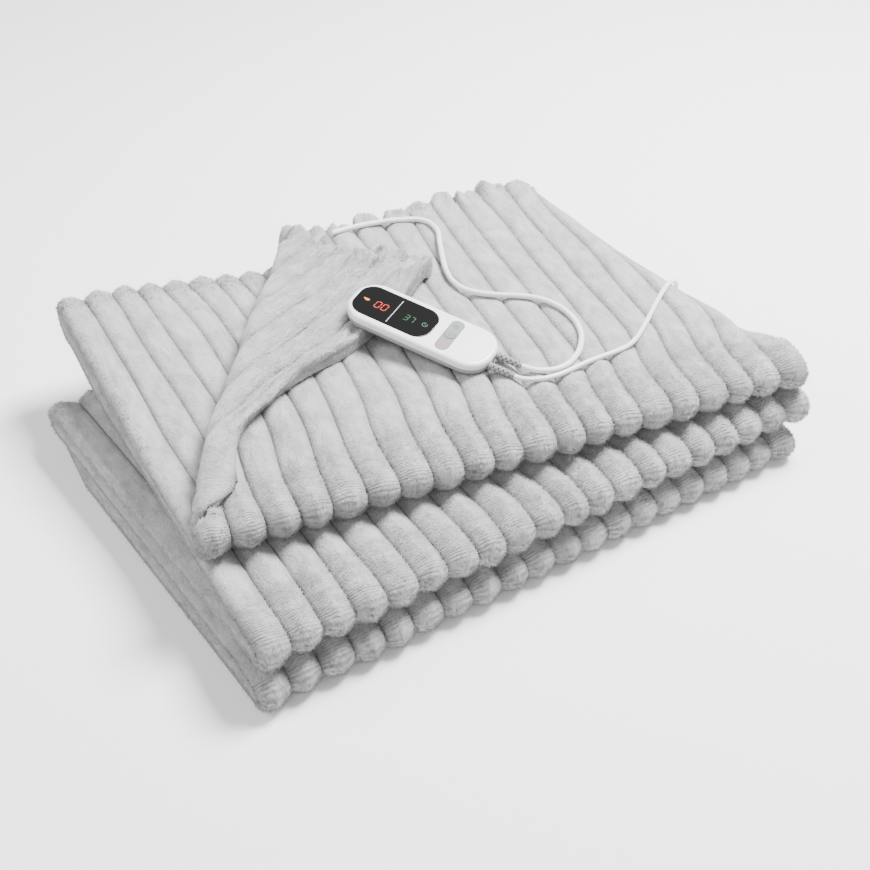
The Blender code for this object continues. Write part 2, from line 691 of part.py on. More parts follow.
def make_plug(collection):
    """A flat two-pin plug: a loft from the round grip to the wide face, and two pins."""
    stations = [
        # distance from the face, half width, half height
        (0.0000, 0.0172, 0.0064),
        (0.0080, 0.0176, 0.0068),
        (0.0170, 0.0150, 0.0068),
        (0.0250, 0.0090, 0.0064),
        (0.0330, 0.0062, 0.0058),
        (0.0440, 0.0042, 0.0042),
    ]
    sides = 16
    solid = bmesh.new()
    rings = []
    for back, half_width, half_height in stations:
        ring = []
        for turn in np.linspace(0.0, 2.0 * math.pi, sides, endpoint=False):
            x, z = math.cos(turn), math.sin(turn)
            square = max(abs(x), abs(z)) ** 0.45
            ring.append(solid.verts.new((back, half_width * x / square, half_height * z / square)))
        rings.append(ring)
    for one, two in zip(rings, rings[1:]):
        for i in range(sides):
            solid.faces.new((one[i], one[i - 1], two[i - 1], two[i]))
    solid.faces.new(rings[0])
    solid.faces.new(rings[-1])
    bmesh.ops.recalc_face_normals(solid, faces=solid.faces)
    mesh = bpy.data.meshes.new("plug_body")
    solid.to_mesh(mesh)
    solid.free()
    body = add_object("plug_body", mesh, collection)
    face_x, face_y = from_origin(PLUG_FACE)
    body.location = (face_x, face_y, PLUG_HEIGHT)
    for name, side in (("plug_pin_a", 1), ("plug_pin_b", -1)):
        profile = [(0.0, PIN_LENGTH), (0.0012, PIN_LENGTH), (0.0020, PIN_LENGTH - 0.0012),
                   (0.0020, 0.0), (0.0, 0.0)]
        pin = turned(name, profile, collection, 12)
        pin.location = (face_x - GAP, face_y + side * PIN_SPREAD, PLUG_HEIGHT)
        pin.rotation_euler = (0.0, -math.pi / 2.0, 0.0)
    return body


# ---- scene ---------------------------------------------------------------------------------------
def clear_scene():
    for thing in list(bpy.data.objects):
        bpy.data.objects.remove(thing, do_unlink=True)


def paint(thing, name, colour, roughness):
    material = bpy.data.materials.get(name) or bpy.data.materials.new(name)
    material.use_nodes = True
    surface = material.node_tree.nodes["Principled BSDF"]
    surface.inputs["Base Color"].default_value = (*colour, 1.0)
    surface.inputs["Roughness"].default_value = roughness
    thing.data.materials.append(material)


FINISHES = {
    # node: material, colour, roughness
    "blanket": ("light grey plush", (0.58, 0.58, 0.58), 0.95),
    "control_lower_shell": ("pale grey plastic", (0.62, 0.62, 0.62), 0.35),
    "control_upper_shell": ("white gloss plastic", (0.85, 0.85, 0.85), 0.15),
    "display_lens": ("black gloss window", (0.012, 0.012, 0.012), 0.08),
    "key_strip": ("grey key strip", (0.50, 0.51, 0.51), 0.40),
    "power_button": ("grey key", (0.58, 0.58, 0.58), 0.30),
    "relief_blanket_lead": ("grey soft plastic", (0.35, 0.35, 0.35), 0.55),
    "relief_mains_lead": ("grey soft plastic", (0.35, 0.35, 0.35), 0.55),
    "blanket_lead": ("white cord", (0.82, 0.82, 0.82), 0.35),
    "mains_lead": ("white cord", (0.82, 0.82, 0.82), 0.35),
    "mains_coil": ("white cord", (0.82, 0.82, 0.82), 0.35),
    "mains_tail": ("white cord", (0.82, 0.82, 0.82), 0.35),
    "coil_tie": ("white tie", (0.70, 0.70, 0.70), 0.50),
    "plug_body": ("white plug", (0.80, 0.80, 0.80), 0.30),
    "plug_pin_a": ("bright metal", (0.75, 0.75, 0.73), 0.25),
    "plug_pin_b": ("bright metal", (0.75, 0.75, 0.73), 0.25),
}


def main():
    clear_scene()
    parts = bpy.data.collections.new("electric_blanket")
    cutters = bpy.data.collections.new("cutters")
    for collection in (parts, cutters):
        bpy.context.scene.collection.children.link(collection)
    make_blanket(parts)
    make_control(parts, cutters)
    make_relief("relief_blanket_lead", +1, parts)
    make_relief("relief_mains_lead", -1, parts)
    tube("blanket_lead", smooth_route(BLANKET_LEAD, BLANKET_LEAD_POINTS),
         BLANKET_LEAD_DIAMETER, parts)
    tube("mains_lead", smooth_route(MAINS_LEAD, MAINS_LEAD_POINTS), MAINS_DIAMETER, parts)
    make_coil(parts)
    make_tie(parts, cutters)
    tube("mains_tail", smooth_route(MAINS_TAIL, MAINS_TAIL_POINTS), MAINS_DIAMETER, parts)
    make_plug(parts)
    for thing in parts.objects:
        paint(thing, *FINISHES[thing.name])


main()
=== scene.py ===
# %% [markdown]
# # A folded electric blanket, dressed
#
# The CAD part is a rigid frame: a ribbed pile of cloth, a hand control and two leads. This
# lesson gives it the looks of the real thing: plush with sewn channels, a glossy control with a
# lit display, and smooth white leads. Every piece is made in metres in the part's own frame, so
# nothing has to be fitted by eye.

import math

import bpy
import numpy as np
from mathutils import Matrix, Vector
from mathutils.bvhtree import BVHTree


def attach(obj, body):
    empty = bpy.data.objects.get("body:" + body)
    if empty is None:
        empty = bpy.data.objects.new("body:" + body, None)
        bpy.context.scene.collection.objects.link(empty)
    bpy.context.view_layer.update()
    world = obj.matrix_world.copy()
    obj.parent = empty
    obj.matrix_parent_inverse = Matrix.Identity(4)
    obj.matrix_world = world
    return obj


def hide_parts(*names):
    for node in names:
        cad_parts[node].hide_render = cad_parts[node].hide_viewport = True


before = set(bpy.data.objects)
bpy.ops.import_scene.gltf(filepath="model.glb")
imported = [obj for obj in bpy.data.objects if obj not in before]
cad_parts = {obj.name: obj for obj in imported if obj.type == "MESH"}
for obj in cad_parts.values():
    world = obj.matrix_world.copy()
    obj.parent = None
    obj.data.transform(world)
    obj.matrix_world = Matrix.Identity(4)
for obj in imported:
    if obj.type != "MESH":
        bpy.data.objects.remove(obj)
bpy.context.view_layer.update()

# %% [markdown]
# ## One way to make a mesh, one way to add a node
#
# Each new piece is a surface worked out on a grid of two parameters. One helper turns grids
# into a mesh, and another adds a shader node with its settings and links. Colours are written
# as the sRGB hex values that an artist picks, and one function turns them to linear light.

# %% Helpers for materials
def linear(hex_colour):
    """sRGB hex to linear RGBA: c/12.92 near black, else ((c + 0.055)/1.055)^2.4."""
    parts = np.array([int(hex_colour[i:i + 2], 16) for i in (1, 3, 5)]) / 255.0
    light = np.where(parts <= 0.04045, parts / 12.92, ((parts + 0.055) / 1.055) ** 2.4)
    return (*light.tolist(), 1.0)


def fill(node, sockets):
    """Fills sockets given by name, or in their own order. A number or colour is set, and an
    output is linked. A node stands for its first output in use, and None leaves a socket."""
    for name, source in sockets.items() if isinstance(sockets, dict) else enumerate(sockets):
        if isinstance(source, bpy.types.Node):
            source = next(output for output in source.outputs if output.enabled)
        if isinstance(source, bpy.types.NodeSocket):
            node.id_data.links.new(source, node.inputs[name])
        elif source is not None:
            node.inputs[name].default_value = source


def add(tree, kind, sockets=(), **settings):
    """Adds one shader node, sets its properties and fills its sockets."""
    made = tree.nodes.new("ShaderNode" + kind)
    for name, value in settings.items():
        setattr(made, name, value)
    fill(made, sockets)
    return made


def new_material(name, sockets):
    """A material, its node tree and its Principled surface, with some sockets filled."""
    material = bpy.data.materials.new(name)
    material.use_nodes = True
    surface = material.node_tree.nodes["Principled BSDF"]
    fill(surface, sockets)
    return material, material.node_tree, surface


# %% Helpers for meshes
def to_scene(name, data):
    """A new object in the scene, at the origin."""
    made = bpy.data.objects.new(name, data)
    bpy.context.scene.collection.objects.link(made)
    return made


def grid_quads(rows, columns, close_columns=False):
    """Corner numbers of every cell of a grid whose points are stored row by row."""
    index = np.arange(rows * columns).reshape(rows, columns)
    if close_columns:
        index = np.hstack([index, index[:, :1]])
    corners = (index[:-1, :-1], index[:-1, 1:], index[1:, 1:], index[1:, :-1])
    return np.stack(corners, axis=-1).reshape(-1, 4)


def closed_tube(rings):
    """Points and faces of a tube: quads between its rings, and a flat face over each end."""
    rings = np.array(rings)
    count, last = rings.shape[1], (len(rings) - 1) * rings.shape[1]
    quads = grid_quads(*rings.shape[:2], close_columns=True).tolist()
    caps = [list(range(count))[::-1], list(range(last, last + count))]
    return rings.reshape(-1, 3), quads + caps


def new_mesh(name, points, faces):
    """A mesh from points and the corner numbers of its faces."""
    mesh = bpy.data.meshes.new(name)
    mesh.from_pydata(np.asarray(points).reshape(-1, 3).tolist(), [], [list(f) for f in faces])
    return mesh


def new_piece(name, points, faces, material, body="blanket", smooth=True):
    """A mesh object at the origin, with its place in its points, that rides on a CAD body."""
    mesh = new_mesh(name, points, faces)
    mesh.validate()
    mesh.polygons.foreach_set("use_smooth", [smooth] * len(mesh.polygons))
    mesh.materials.append(material)
    piece = to_scene(name, mesh)
    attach(piece, body)
    return piece


def add_value(mesh, name, values):
    """Stores one number for each point, for the material to read."""
    layer = mesh.attributes.new(name, "FLOAT", "POINT")
    layer.data.foreach_set("value", np.asarray(values, np.float32).ravel())


def ease(value, start, end):
    """0 at start, 1 at end, with a level beginning and end: 3t^2 - 2t^3."""
    share = np.clip((value - start) / (end - start), 0.0, 1.0)
    return share * share * (3.0 - 2.0 * share)


def unit(vectors):
    """Each vector divided by its own length."""
    return vectors / np.maximum(np.linalg.norm(vectors, axis=-1, keepdims=True), 1e-12)


# %% [markdown]
# ## Camera
#
# The view is that of a product photograph: from the front left, 40 degrees above the floor,
# with a lens of about 52 mm on a 36 mm sensor.

# %% Camera
CAMERA_PLACE = (-0.37567, -0.91777, 0.83095)
CAMERA_TURN = (math.radians(49.882), 0.0, math.radians(-23.405))
PHOTO_PIXELS = 870
FOCAL_PIXELS = 1250.0

camera_data = bpy.data.cameras.new("camera")
camera_data.sensor_width = 36.0
camera_data.lens = 36.0 * FOCAL_PIXELS / PHOTO_PIXELS
camera_data.clip_start = 0.01
camera = to_scene("camera", camera_data)
camera.location = CAMERA_PLACE
camera.rotation_euler = CAMERA_TURN
bpy.context.scene.camera = camera

# %% [markdown]
# ## The frame of the tables
#
# The tables of the cloth and the leads are written in a frame with x along the pile's front
# edge. Its point (0.233, 0.162) is the part's origin.

# %% Origin of the tables
PILE_MIDDLE = np.array([0.2330, 0.1620])


def to_part(points):
    """Moves points from the tables' frame to the part's frame."""
    points = np.array(points, float)
    points[..., :2] -= PILE_MIDDLE
    return points


# %% [markdown]
# ## Leads
#
# A lead is a round flexible cord of a known length. The control has two: a thicker one of
# 5.8 mm that goes back into the blanket's hem, and the 5 mm mains lead. The mains lead leaves
# over the right side, runs along the floor behind the pile, and its spare length is wound into
# a neat coil of seven and a quarter turns beside its plug, as it would be for storage. Both
# curves pass through listed points; the coil's points follow a rule.

# %% Material of the leads
def plastic(name, tones, marks, grain, strength, height, sockets):
    """Two tones mixed by a slow noise, and a fine noise as the relief of the skin. `marks` is
    the slow one's cells in a metre and its detail, and `grain` the fine one's cells in a metre."""
    material, tree, surface = new_material(name, sockets)
    place = add(tree, "TexCoord").outputs["Object"]
    slow = add(tree, "TexNoise", {"Vector": place, "Scale": marks[0], "Detail": marks[1]})
    tone = add(tree, "Mix", {"Factor": slow, "A": tones[0], "B": tones[1]}, data_type="RGBA")
    fine = add(tree, "TexNoise", {"Vector": place, "Scale": grain, "Detail": 1.0})
    relief = add(tree, "Bump", {"Height": fine, "Strength": strength, "Distance": height})
    fill(surface, {"Base Color": tone, "Normal": relief})
    return material


# PVC cord jacket, extruded: smooth, a little waxy, almost white, with a soft wide highlight.
# Its handling marks are 25 mm apart, and the orange peel of the extruder is 1.2 mm across.
cord_pvc = plastic("extruded white PVC jacket", (linear("#f4f4f3"), linear("#e6e6e5")),
                   (40.0, 2.0), 850.0, 0.12, 0.0002,
                   {"Roughness": 0.33, "Subsurface Weight": 0.08,
                    "Subsurface Radius": (0.002, 0.002, 0.002)})

# %% Routes of the leads
BLANKET_LEAD_DIAMETER = 0.0058
BLANKET_LEAD = [(0.3131, 0.0883, 0.1123), (0.3172, 0.0832, 0.1115)] + [
    (x, y, 0.1106) for x, y in (
        (0.3320, 0.0745), (0.3500, 0.0735), (0.3676, 0.0826), (0.3840, 0.1006), (0.3936, 0.1204),
        (0.3969, 0.1455), (0.3921, 0.1689), (0.3821, 0.1851), (0.3657, 0.1982), (0.3475, 0.2080),
        (0.3300, 0.2195), (0.3180, 0.2335), (0.3135, 0.2505), (0.3150, 0.2705), (0.3215, 0.2955),
        (0.3310, 0.3255), (0.3395, 0.3555), (0.3335, 0.3775), (0.3115, 0.3885), (0.2805, 0.3940),
        (0.2525, 0.3945), (0.2305, 0.3925))]
MAINS_DIAMETER = 0.0050
MAINS_LEAD = [
    (0.3001, 0.0781, 0.1111), (0.3035, 0.0738, 0.1105), (0.3205, 0.0655, 0.1101),
    (0.3365, 0.0640, 0.1101), (0.3545, 0.0665, 0.1102), (0.3725, 0.0705, 0.1103),
    (0.3905, 0.0730, 0.1103), (0.4075, 0.0748, 0.1103), (0.4225, 0.0780, 0.1103),
    (0.4360, 0.0850, 0.1103), (0.4531, 0.0990, 0.1103), (0.4713, 0.1158, 0.1103),
    (0.4905, 0.1340, 0.1103), (0.5110, 0.1520, 0.1103), (0.5260, 0.1640, 0.1071),
    (0.5395, 0.1740, 0.0970), (0.5470, 0.1820, 0.0825), (0.5515, 0.1895, 0.0650),
    (0.5550, 0.1975, 0.0470), (0.5585, 0.2065, 0.0300), (0.5620, 0.2185, 0.0150),
    (0.5645, 0.2345, 0.0060), (0.5655, 0.2535, 0.0032), (0.5640, 0.2805, 0.0028),
    (0.5580, 0.3205, 0.0028), (0.5485, 0.3655, 0.0028), (0.5380, 0.4055, 0.0028),
    (0.5295, 0.4355, 0.0028), (0.5195, 0.4535, 0.0028), (0.4985, 0.4615, 0.0030),
    (0.4715, 0.4540, 0.0034), (0.4415, 0.4410, 0.0040), (0.4145, 0.4337, 0.0042),
    (0.3925, 0.4322, 0.0042),
]
MAINS_TAIL = [
    (0.3532, 0.4715, 0.0140), (0.3528, 0.4835, 0.0128), (0.3480, 0.4955, 0.0105),
    (0.3380, 0.5030, 0.0082), (0.3253, 0.5055, 0.0071),
]
COIL_CENTRE = np.array([0.3915, 0.4705])
COIL_RADIUS, COIL_MIDDLE_HEIGHT, STRAND_PITCH = 0.0275, 0.00945, 0.0051
COIL_TURNS, POINTS_A_TURN = 7.25, 16

# %% [markdown]
# The coil is a bundle of strands three wide and three high. Turn by turn the strand takes the
# next place in the bundle: outwards to inwards in the lowest layer, back outwards in the
# second, inwards in the third. The change from one place to the next is eased over a fifth of
# a turn, so no strand bends sharply.

# %% Coil
STRAND_CHANGE, WAY_IN = 0.80, 0.16      # in turns: where a change starts, and the way in
STRAND_PLACES = np.array([
    # steps outwards, steps up
    (1, -1), (0, -1), (-1, -1), (-1, 0), (0, 0), (1, 0), (1, 1), (0.6, 1.0),
])


def coil_points():
    """Clockwise turns from the front of the ring. Radius and height follow the places."""
    turn = np.linspace(0.0, COIL_TURNS, int(COIL_TURNS * POINTS_A_TURN) + 1)[1:-1]
    whole = np.minimum(turn.astype(int), len(STRAND_PLACES) - 2)
    share = ease(turn - whole, STRAND_CHANGE, 1.0)[:, None]
    place = STRAND_PLACES[whole] * (1.0 - share) + STRAND_PLACES[whole + 1] * share
    # it comes in from, and leaves to, just outside the ring
    edge = np.maximum(1.0 - ease(turn, 0.0, WAY_IN),
                      ease(turn, COIL_TURNS - WAY_IN, COIL_TURNS))
    radius = COIL_RADIUS + STRAND_PITCH * place[:, 0]
    radius = radius + edge * (COIL_RADIUS + 2.1 * STRAND_PITCH - radius)
    angle = -math.pi / 2.0 - 2.0 * math.pi * turn
    height = COIL_MIDDLE_HEIGHT + STRAND_PITCH * place[:, 1]
    x = COIL_CENTRE[0] + radius * np.cos(angle)
    y = COIL_CENTRE[1] + radius * np.sin(angle)
    return np.column_stack([x, y, height])


def cord_piece(name, points, diameter):
    """A smooth curve through the points, with a round section and filled ends."""
    points = to_part(points)
    curve = bpy.data.curves.new(name, "CURVE")
    curve.dimensions = "3D"
    curve.bevel_depth = diameter / 2.0
    curve.bevel_resolution = 5
    curve.resolution_u = 6
    curve.use_fill_caps = True
    line = curve.splines.new("BEZIER")
    line.bezier_points.add(len(points) - 1)
    line.bezier_points.foreach_set("co", points.ravel())
    for knot in line.bezier_points:
        knot.handle_left_type = knot.handle_right_type = "AUTO"
    curve.materials.append(cord_pvc)
    piece = to_scene(name, curve)
    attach(piece, "blanket")
    # the length of the smooth line through the points, which is printed and returned
    bpy.context.view_layer.update()
    length = line.calc_length()
    print(name, "length", round(length, 4))
    return piece, points, length


blanket_lead, lead_points, lead_length = cord_piece(
    "blanket_cord", BLANKET_LEAD, BLANKET_LEAD_DIAMETER)
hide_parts("blanket_lead")

mains_route = np.vstack([MAINS_LEAD, coil_points(), MAINS_TAIL])
mains_cord, mains_points, mains_length = cord_piece("mains_cord", mains_route, MAINS_DIAMETER)
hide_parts("mains_lead", "mains_coil", "mains_tail")

# %% [markdown]
# The plug is moulded round the end of the lead, its pins are drawn and plated, and a strip of
# soft PVC ties the coil. Their CAD shapes are plain and right, so they only get a finish.

# %% Finish of the plug, its pins and the tie
def darker(colour, share):
    """A hex colour in linear light, times a share."""
    return [share * part for part in linear(colour)[:3]] + [1.0]


def moulded(name, colour, roughness, grain_mm, grain_height, coat=0.0):
    """Moulded plastic: a colour and 93% of it, and the fine texture that the mould leaves."""
    return plastic(name, (darker(colour, 0.93), linear(colour)), (55.0, 3.0),
                   1000.0 / grain_mm, 0.25, grain_height,
                   {"Roughness": roughness, "Coat Weight": coat, "Coat Roughness": 0.08})


# the plug and the tie are moulded and extruded PVC: matt white, with a fine pebbled skin
plug_pvc = moulded("moulded PVC plug, white", "#efefee", 0.42, 0.9, 0.00012)
tie_pvc = moulded("extruded PVC tie, grey-white", "#d8d8d7", 0.50, 0.7, 0.00010)
# pins are nickel-plated brass, drawn along their length: a hard bright streak
pin_metal, tree, surface = new_material("nickel-plated brass, drawn", {"Metallic": 1.0})
drawn = add(tree, "Mapping", {"Vector": add(tree, "TexCoord").outputs["Object"],
                              "Scale": (1.0, 12.0, 12.0)})
scratches = add(tree, "TexNoise", {"Vector": drawn, "Scale": 300.0, "Detail": 3.0})
tone = add(tree, "Mix", {"Factor": scratches, "A": linear("#b9b6ae"), "B": linear("#d6d3cb")},
           data_type="RGBA")
polish = add(tree, "MapRange", {"Value": scratches, "To Min": 0.18, "To Max": 0.34})
fill(surface, {"Base Color": tone, "Roughness": polish})
for node, material in (("plug_body", plug_pvc), ("coil_tie", tie_pvc),
                       ("plug_pin_a", pin_metal), ("plug_pin_b", pin_metal)):
    for face_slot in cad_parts[node].material_slots:
        face_slot.material = material

# %% [markdown]
# ## The cloth: one sheet in six layers
#
# The throw is flannel fleece, quilted into channels 31 mm wide that run from hem to hem. It
# could be draped by simulation, but the folds of a pressed pile are known: the sheet goes back
# and forth between seven fold lines. So its middle surface is a formula, the same one that the
# rigid part uses, evaluated on a much finer grid. Each layer is flat between half-circle rolls,
# the top layer hangs a little over the right side, and its near corner is turned back.

# %% Fold table of the cloth
RIB_WIDTH = 0.031
RIB_COUNT = 20
SHEET_WIDTH = RIB_WIDTH * RIB_COUNT
HALF_THICK = 0.0083
LAYER_RISE = 0.0181
FOLDS = [
    # left x, left y, right x, right y, out (+1 to the back, -1 to the front), bow
    (-0.115, 0.278, 0.474, 0.402, +1, 0.0),
    (-0.023, -0.117, 0.566, -0.020, -1, 0.0),
    (-0.112, 0.285, 0.474, 0.408, +1, 0.0),
    (-0.017, -0.107, 0.581, -0.010, -1, 0.0),
    (-0.077, 0.363, 0.472, 0.400, +1, 0.004),
    (-0.034, -0.004, 0.578, -0.003, -1, 0.0),
    (-0.034, 0.392, 0.600, 0.437, +1, 0.0),
]
LOOP_RISE_UNDER, LOOP_RISE_OVER = 0.024, 0.034
LOOP_X, LOOP_Y_UNDER, LOOP_Y_OVER = (0.190, -0.060), (0.230, 0.350), (0.070, 0.350)
SHOULDER = 0.022        # how much further back a front roll's top starts than its underside
SIDE_X, SIDE_SLOPE, SIDE_TUCK = 0.581, 0.250, 0.014
TOP_LEAN = 0.014
HANG_INSET, HANG_RADIUS, HANG_ANGLE = 0.015, 0.026, math.radians(78)
HANG_SHORTEN, HANG_Y = 0.70, (-0.030, 0.100)
CREASE_FOOT, CREASE_ANGLE = np.array([-0.028, 0.004]), math.radians(29.5)
CREASE_RADIUS, FLAP_LENGTH, FLAP_SETTLE = 0.0102, 0.400, 0.0028
FOOT_NARROW, FOOT_LENGTH = 0.3, 0.09    # the crease has this share of its radius at its foot,
                                        # and all of it this far on
FOOT_SETTLE = 0.0050    # how much deeper the flap sinks into the layer below at its foot
FLAP_PUFF, FLAP_PUFF_START = 0.010, 0.66
HEM_LEAST, HEM_MORE = 0.012, 0.006      # the flap's reach to its hem, at least and added
HEM_EVEN = 0.035        # the hem's table is a mean of three places, this share apart
END_BULGE = 0.009       # how far a rib's end puffs past its grooves at the last hem
FLAP_HEM = np.array([
    # share of the way up the hem, x shift, y shift
    (0.00, 0.034, -0.004), (0.06, 0.033, 0.000), (0.12, 0.023, 0.012), (0.18, 0.015, 0.024),
    (0.26, 0.011, 0.033), (0.40, 0.013, 0.036), (0.52, 0.018, 0.027), (0.60, 0.019, 0.027),
    (0.72, 0.022, 0.036), (0.84, 0.024, 0.052), (1.00, 0.012, 0.050),
])

# Columns: ten steps in a rib, close together at its two grooves
RIB_STEPS = np.array([0.0, 0.03, 0.08, 0.17, 0.32, 0.50, 0.68, 0.83, 0.92, 0.97])
columns = np.append((np.arange(RIB_COUNT)[:, None] + RIB_STEPS).ravel(), RIB_COUNT)
across = columns / RIB_COUNT
print("columns of the cloth", len(columns))


# %% Layers and rolls
def fold_line(index):
    """A straight line from left to right, pushed outwards by 4 bow t(1 - t)."""
    left_x, left_y, right_x, right_y, out, bow = FOLDS[index]
    left, right = np.array([left_x, left_y]), np.array([right_x, right_y])
    along = (right - left) / np.linalg.norm(right - left)
    outward = out * np.array([-along[1], along[0]])
    points = left + (right - left) * across[:, None]
    return points + outward * (4.0 * bow * across * (1.0 - across))[:, None], outward


def side_edge(y):
    """x of the lower layers' right edge: a straight line, drawn in behind the rolls."""
    return SIDE_X - SIDE_SLOPE * y - SIDE_TUCK * ease(y, 0.0, 0.08) * (1.0 - ease(y, 0.2, 0.4))


def layer_height(layer, plan):
    """Half a thickness, plus one rise for each layer, plus the lift of the loop at the left."""
    x, y = plan[..., 0], plan[..., 1]
    height = HALF_THICK + LAYER_RISE * layer + 0.0 * x
    loop = ease(x, *LOOP_X)
    if layer == 3:
        height = height + LOOP_RISE_UNDER * loop * ease(y, *LOOP_Y_UNDER)
    if layer >= 4:
        height = height + LOOP_RISE_OVER * loop * ease(y, *LOOP_Y_OVER)
    return height


def roll_centre(index):
    """A roll's axis lies one radius inside its fold line, midway between the two layers."""
    points, outward = fold_line(index)
    low, high = layer_height(index - 1, points), layer_height(index, points)
    radius = (high - low) / 2.0
    return points - outward * radius[:, None], outward, radius, (low + high) / 2.0


def shoulder(index):
    """Zero for back rolls. The top layer's fades out at the left, towards the crease's foot."""
    if FOLDS[index][4] > 0:
        return 0.0 * across
    return SHOULDER * (ease(across, 0.03, 0.22) if index == 5 else 1.0 + 0.0 * across)


def roll_rows(index, shares):
    """Half a turn, angle -90 to 90: height + r sin(angle), and outwards r cos(angle) below.
    The upper quarter of a front roll is an ellipse, drawn back by the shoulder."""
    centre, outward, radius, height = roll_centre(index)
    angle = np.pi * (np.asarray(shares)[:, None] - 0.5)
    back = shoulder(index) * (angle > 0.0)
    reach = radius * np.cos(angle) - back * (1.0 - np.cos(angle))
    return np.dstack([centre + outward * reach[..., None], height + radius * np.sin(angle)])


def layer_ends(layer):
    """Where a layer starts and ends: above or below the axes of its two rolls, or at a hem."""
    start = fold_line(0)[0]
    if layer:
        start, outward, _, _ = roll_centre(layer)
        start = start - outward * shoulder(layer)[:, None]
    end = fold_line(6)[0] if layer == 5 else roll_centre(layer + 1)[0]
    return start, end


def layer_rows(layer, shares):
    """Straight between its two ends; the right edge is drawn in by pull across^4."""
    start, end = layer_ends(layer)
    shares = np.asarray(shares)[:, None]
    plan = start + (end - start) * shares[..., None]
    edge = start[-1] + (end[-1] - start[-1]) * shares
    pull = np.minimum(0.0, side_edge(edge[:, 1]) - edge[:, 0])
    plan[..., 0] += pull[:, None] * across ** 4
    return np.dstack([plan, layer_height(layer, plan)])


# %% [markdown]
# The top layer carries two more bends. `hang` rolls what overhangs the right side down over a
# cylinder. `turn_back` rolls what lies past a slanting crease up and over its own small
# cylinder, so the corner shows the sheet's other face. The free hem of that flap isn't straight
# on the real throw: a short table shifts it, as measured up its length.

# %% The top layer and its turned-back corner
def hang(points):
    """Past the side line, arc length goes round a cylinder and then straight down."""
    y = points[..., 1]
    start = side_edge(y) - HANG_INSET
    bent = ease(y, *HANG_Y)
    past = np.maximum(0.0, points[..., 0] - start) * (1.0 - (1.0 - HANG_SHORTEN) * bent)
    most = np.maximum(1e-4, HANG_ANGLE * bent)
    angle = np.minimum(past / HANG_RADIUS, most)
    rest = np.maximum(0.0, past - most * HANG_RADIUS)
    bent_x = start + HANG_RADIUS * np.sin(angle) + rest * np.cos(angle)
    bent_z = points[..., 2] - HANG_RADIUS * (1.0 - np.cos(angle)) - rest * np.sin(angle)
    over = points[..., 0] > start
    return np.dstack([np.where(over, bent_x, points[..., 0]), y,
                      np.where(over, bent_z, points[..., 2])])


def crease_reach(plan):
    """Signed distance of a plan point from the crease, positive on the turned side.
    A column that would start past the crease is turned from its own first row on."""
    away = plan - CREASE_FOOT
    past = away[..., 1] * math.sin(CREASE_ANGLE) - away[..., 0] * math.cos(CREASE_ANGLE)
    return past - np.maximum(0.0, past[:1])


def turn_back(plan, points):
    """Past the crease, arc length goes half round a cylinder and then flat towards the hem.
    Towards the crease's foot the cylinder narrows to a third, so the fold closes there."""
    past = crease_reach(plan)
    side = np.array([math.cos(CREASE_ANGLE), -math.sin(CREASE_ANGLE)])
    ahead = np.array([math.sin(CREASE_ANGLE), math.cos(CREASE_ANGLE)])
    foot = plan + side * past[..., None]
    along = (foot - CREASE_FOOT) @ ahead
    radius = CREASE_RADIUS * (FOOT_NARROW + (1.0 - FOOT_NARROW) * ease(along, 0.0, FOOT_LENGTH))
    angle = np.clip(past / radius, 0.0, math.pi)
    flat = np.maximum(0.0, past - math.pi * radius)
    hem_reach = np.maximum(HEM_LEAST, along * math.tan(CREASE_ANGLE) + HEM_MORE)
    out_share = ease(past / hem_reach, 0.2, 1.0)
    up_share = np.clip(along / FLAP_LENGTH, 0.0, 1.0)
    shift = sum(np.dstack([np.interp(up_share + step, FLAP_HEM[:, 0], FLAP_HEM[:, k])
                           for k in (1, 2)]) for step in (-HEM_EVEN, 0.0, HEM_EVEN)) / 3.0
    turned = foot + side * (flat - radius * np.sin(angle))[..., None] + shift * out_share[..., None]
    laid = ease(flat, 0.0, 0.05)
    height = layer_height(5, foot) * (1.0 - laid) + layer_height(5, turned) * laid
    settle = FLAP_SETTLE + FOOT_SETTLE * (1.0 - ease(up_share, 0.02, 0.20))
    height = height + radius * (1.0 - np.cos(angle)) - settle * laid
    height = height + FLAP_PUFF * out_share * ease(up_share, FLAP_PUFF_START, 1.0)
    over = (past > 0.0)[..., None]
    return np.where(over, np.dstack([turned, height]), points)


# %% Rows of the top layer
TOP_ROWS, CREASE_MARGIN, CREASE_DENSER, BEFORE_HEM = 72, 0.03, 1.4, 0.019
END_STEPS = np.array([0.013, 0.0085, 0.005, 0.0025, 0.001, 0.0])


def top_shares():
    """Rows at equal steps of the integral of a density that is 2.4 times higher at the crease."""
    start, end = layer_ends(5)
    length = end[:, 1] - start[:, 1]
    foot_y = CREASE_FOOT[1] + (start[:, 0] - CREASE_FOOT[0]) / math.tan(CREASE_ANGLE)
    turn = math.pi * CREASE_RADIUS / math.sin(CREASE_ANGLE)
    first = foot_y - start[:, 1]
    fine = np.linspace(0.0, 1.0, 600)
    place = fine[:, None] * (length - BEFORE_HEM)
    window = ease(place, first - CREASE_MARGIN, first)
    window = window * (1.0 - ease(place, first + turn, first + turn + CREASE_MARGIN))
    density = 1.0 + CREASE_DENSER * window
    parts = (density[1:] + density[:-1]) / 2.0
    sums = np.vstack([np.zeros(len(across)), np.cumsum(parts, axis=0)])
    steps = np.linspace(0.0, 1.0, TOP_ROWS - len(END_STEPS))
    inner = [np.interp(steps, sums[:, k] / sums[-1, k], place[:, k]) for k in range(len(across))]
    rows = np.vstack([np.array(inner).T, length - END_STEPS[:, None]])
    return rows / length, length


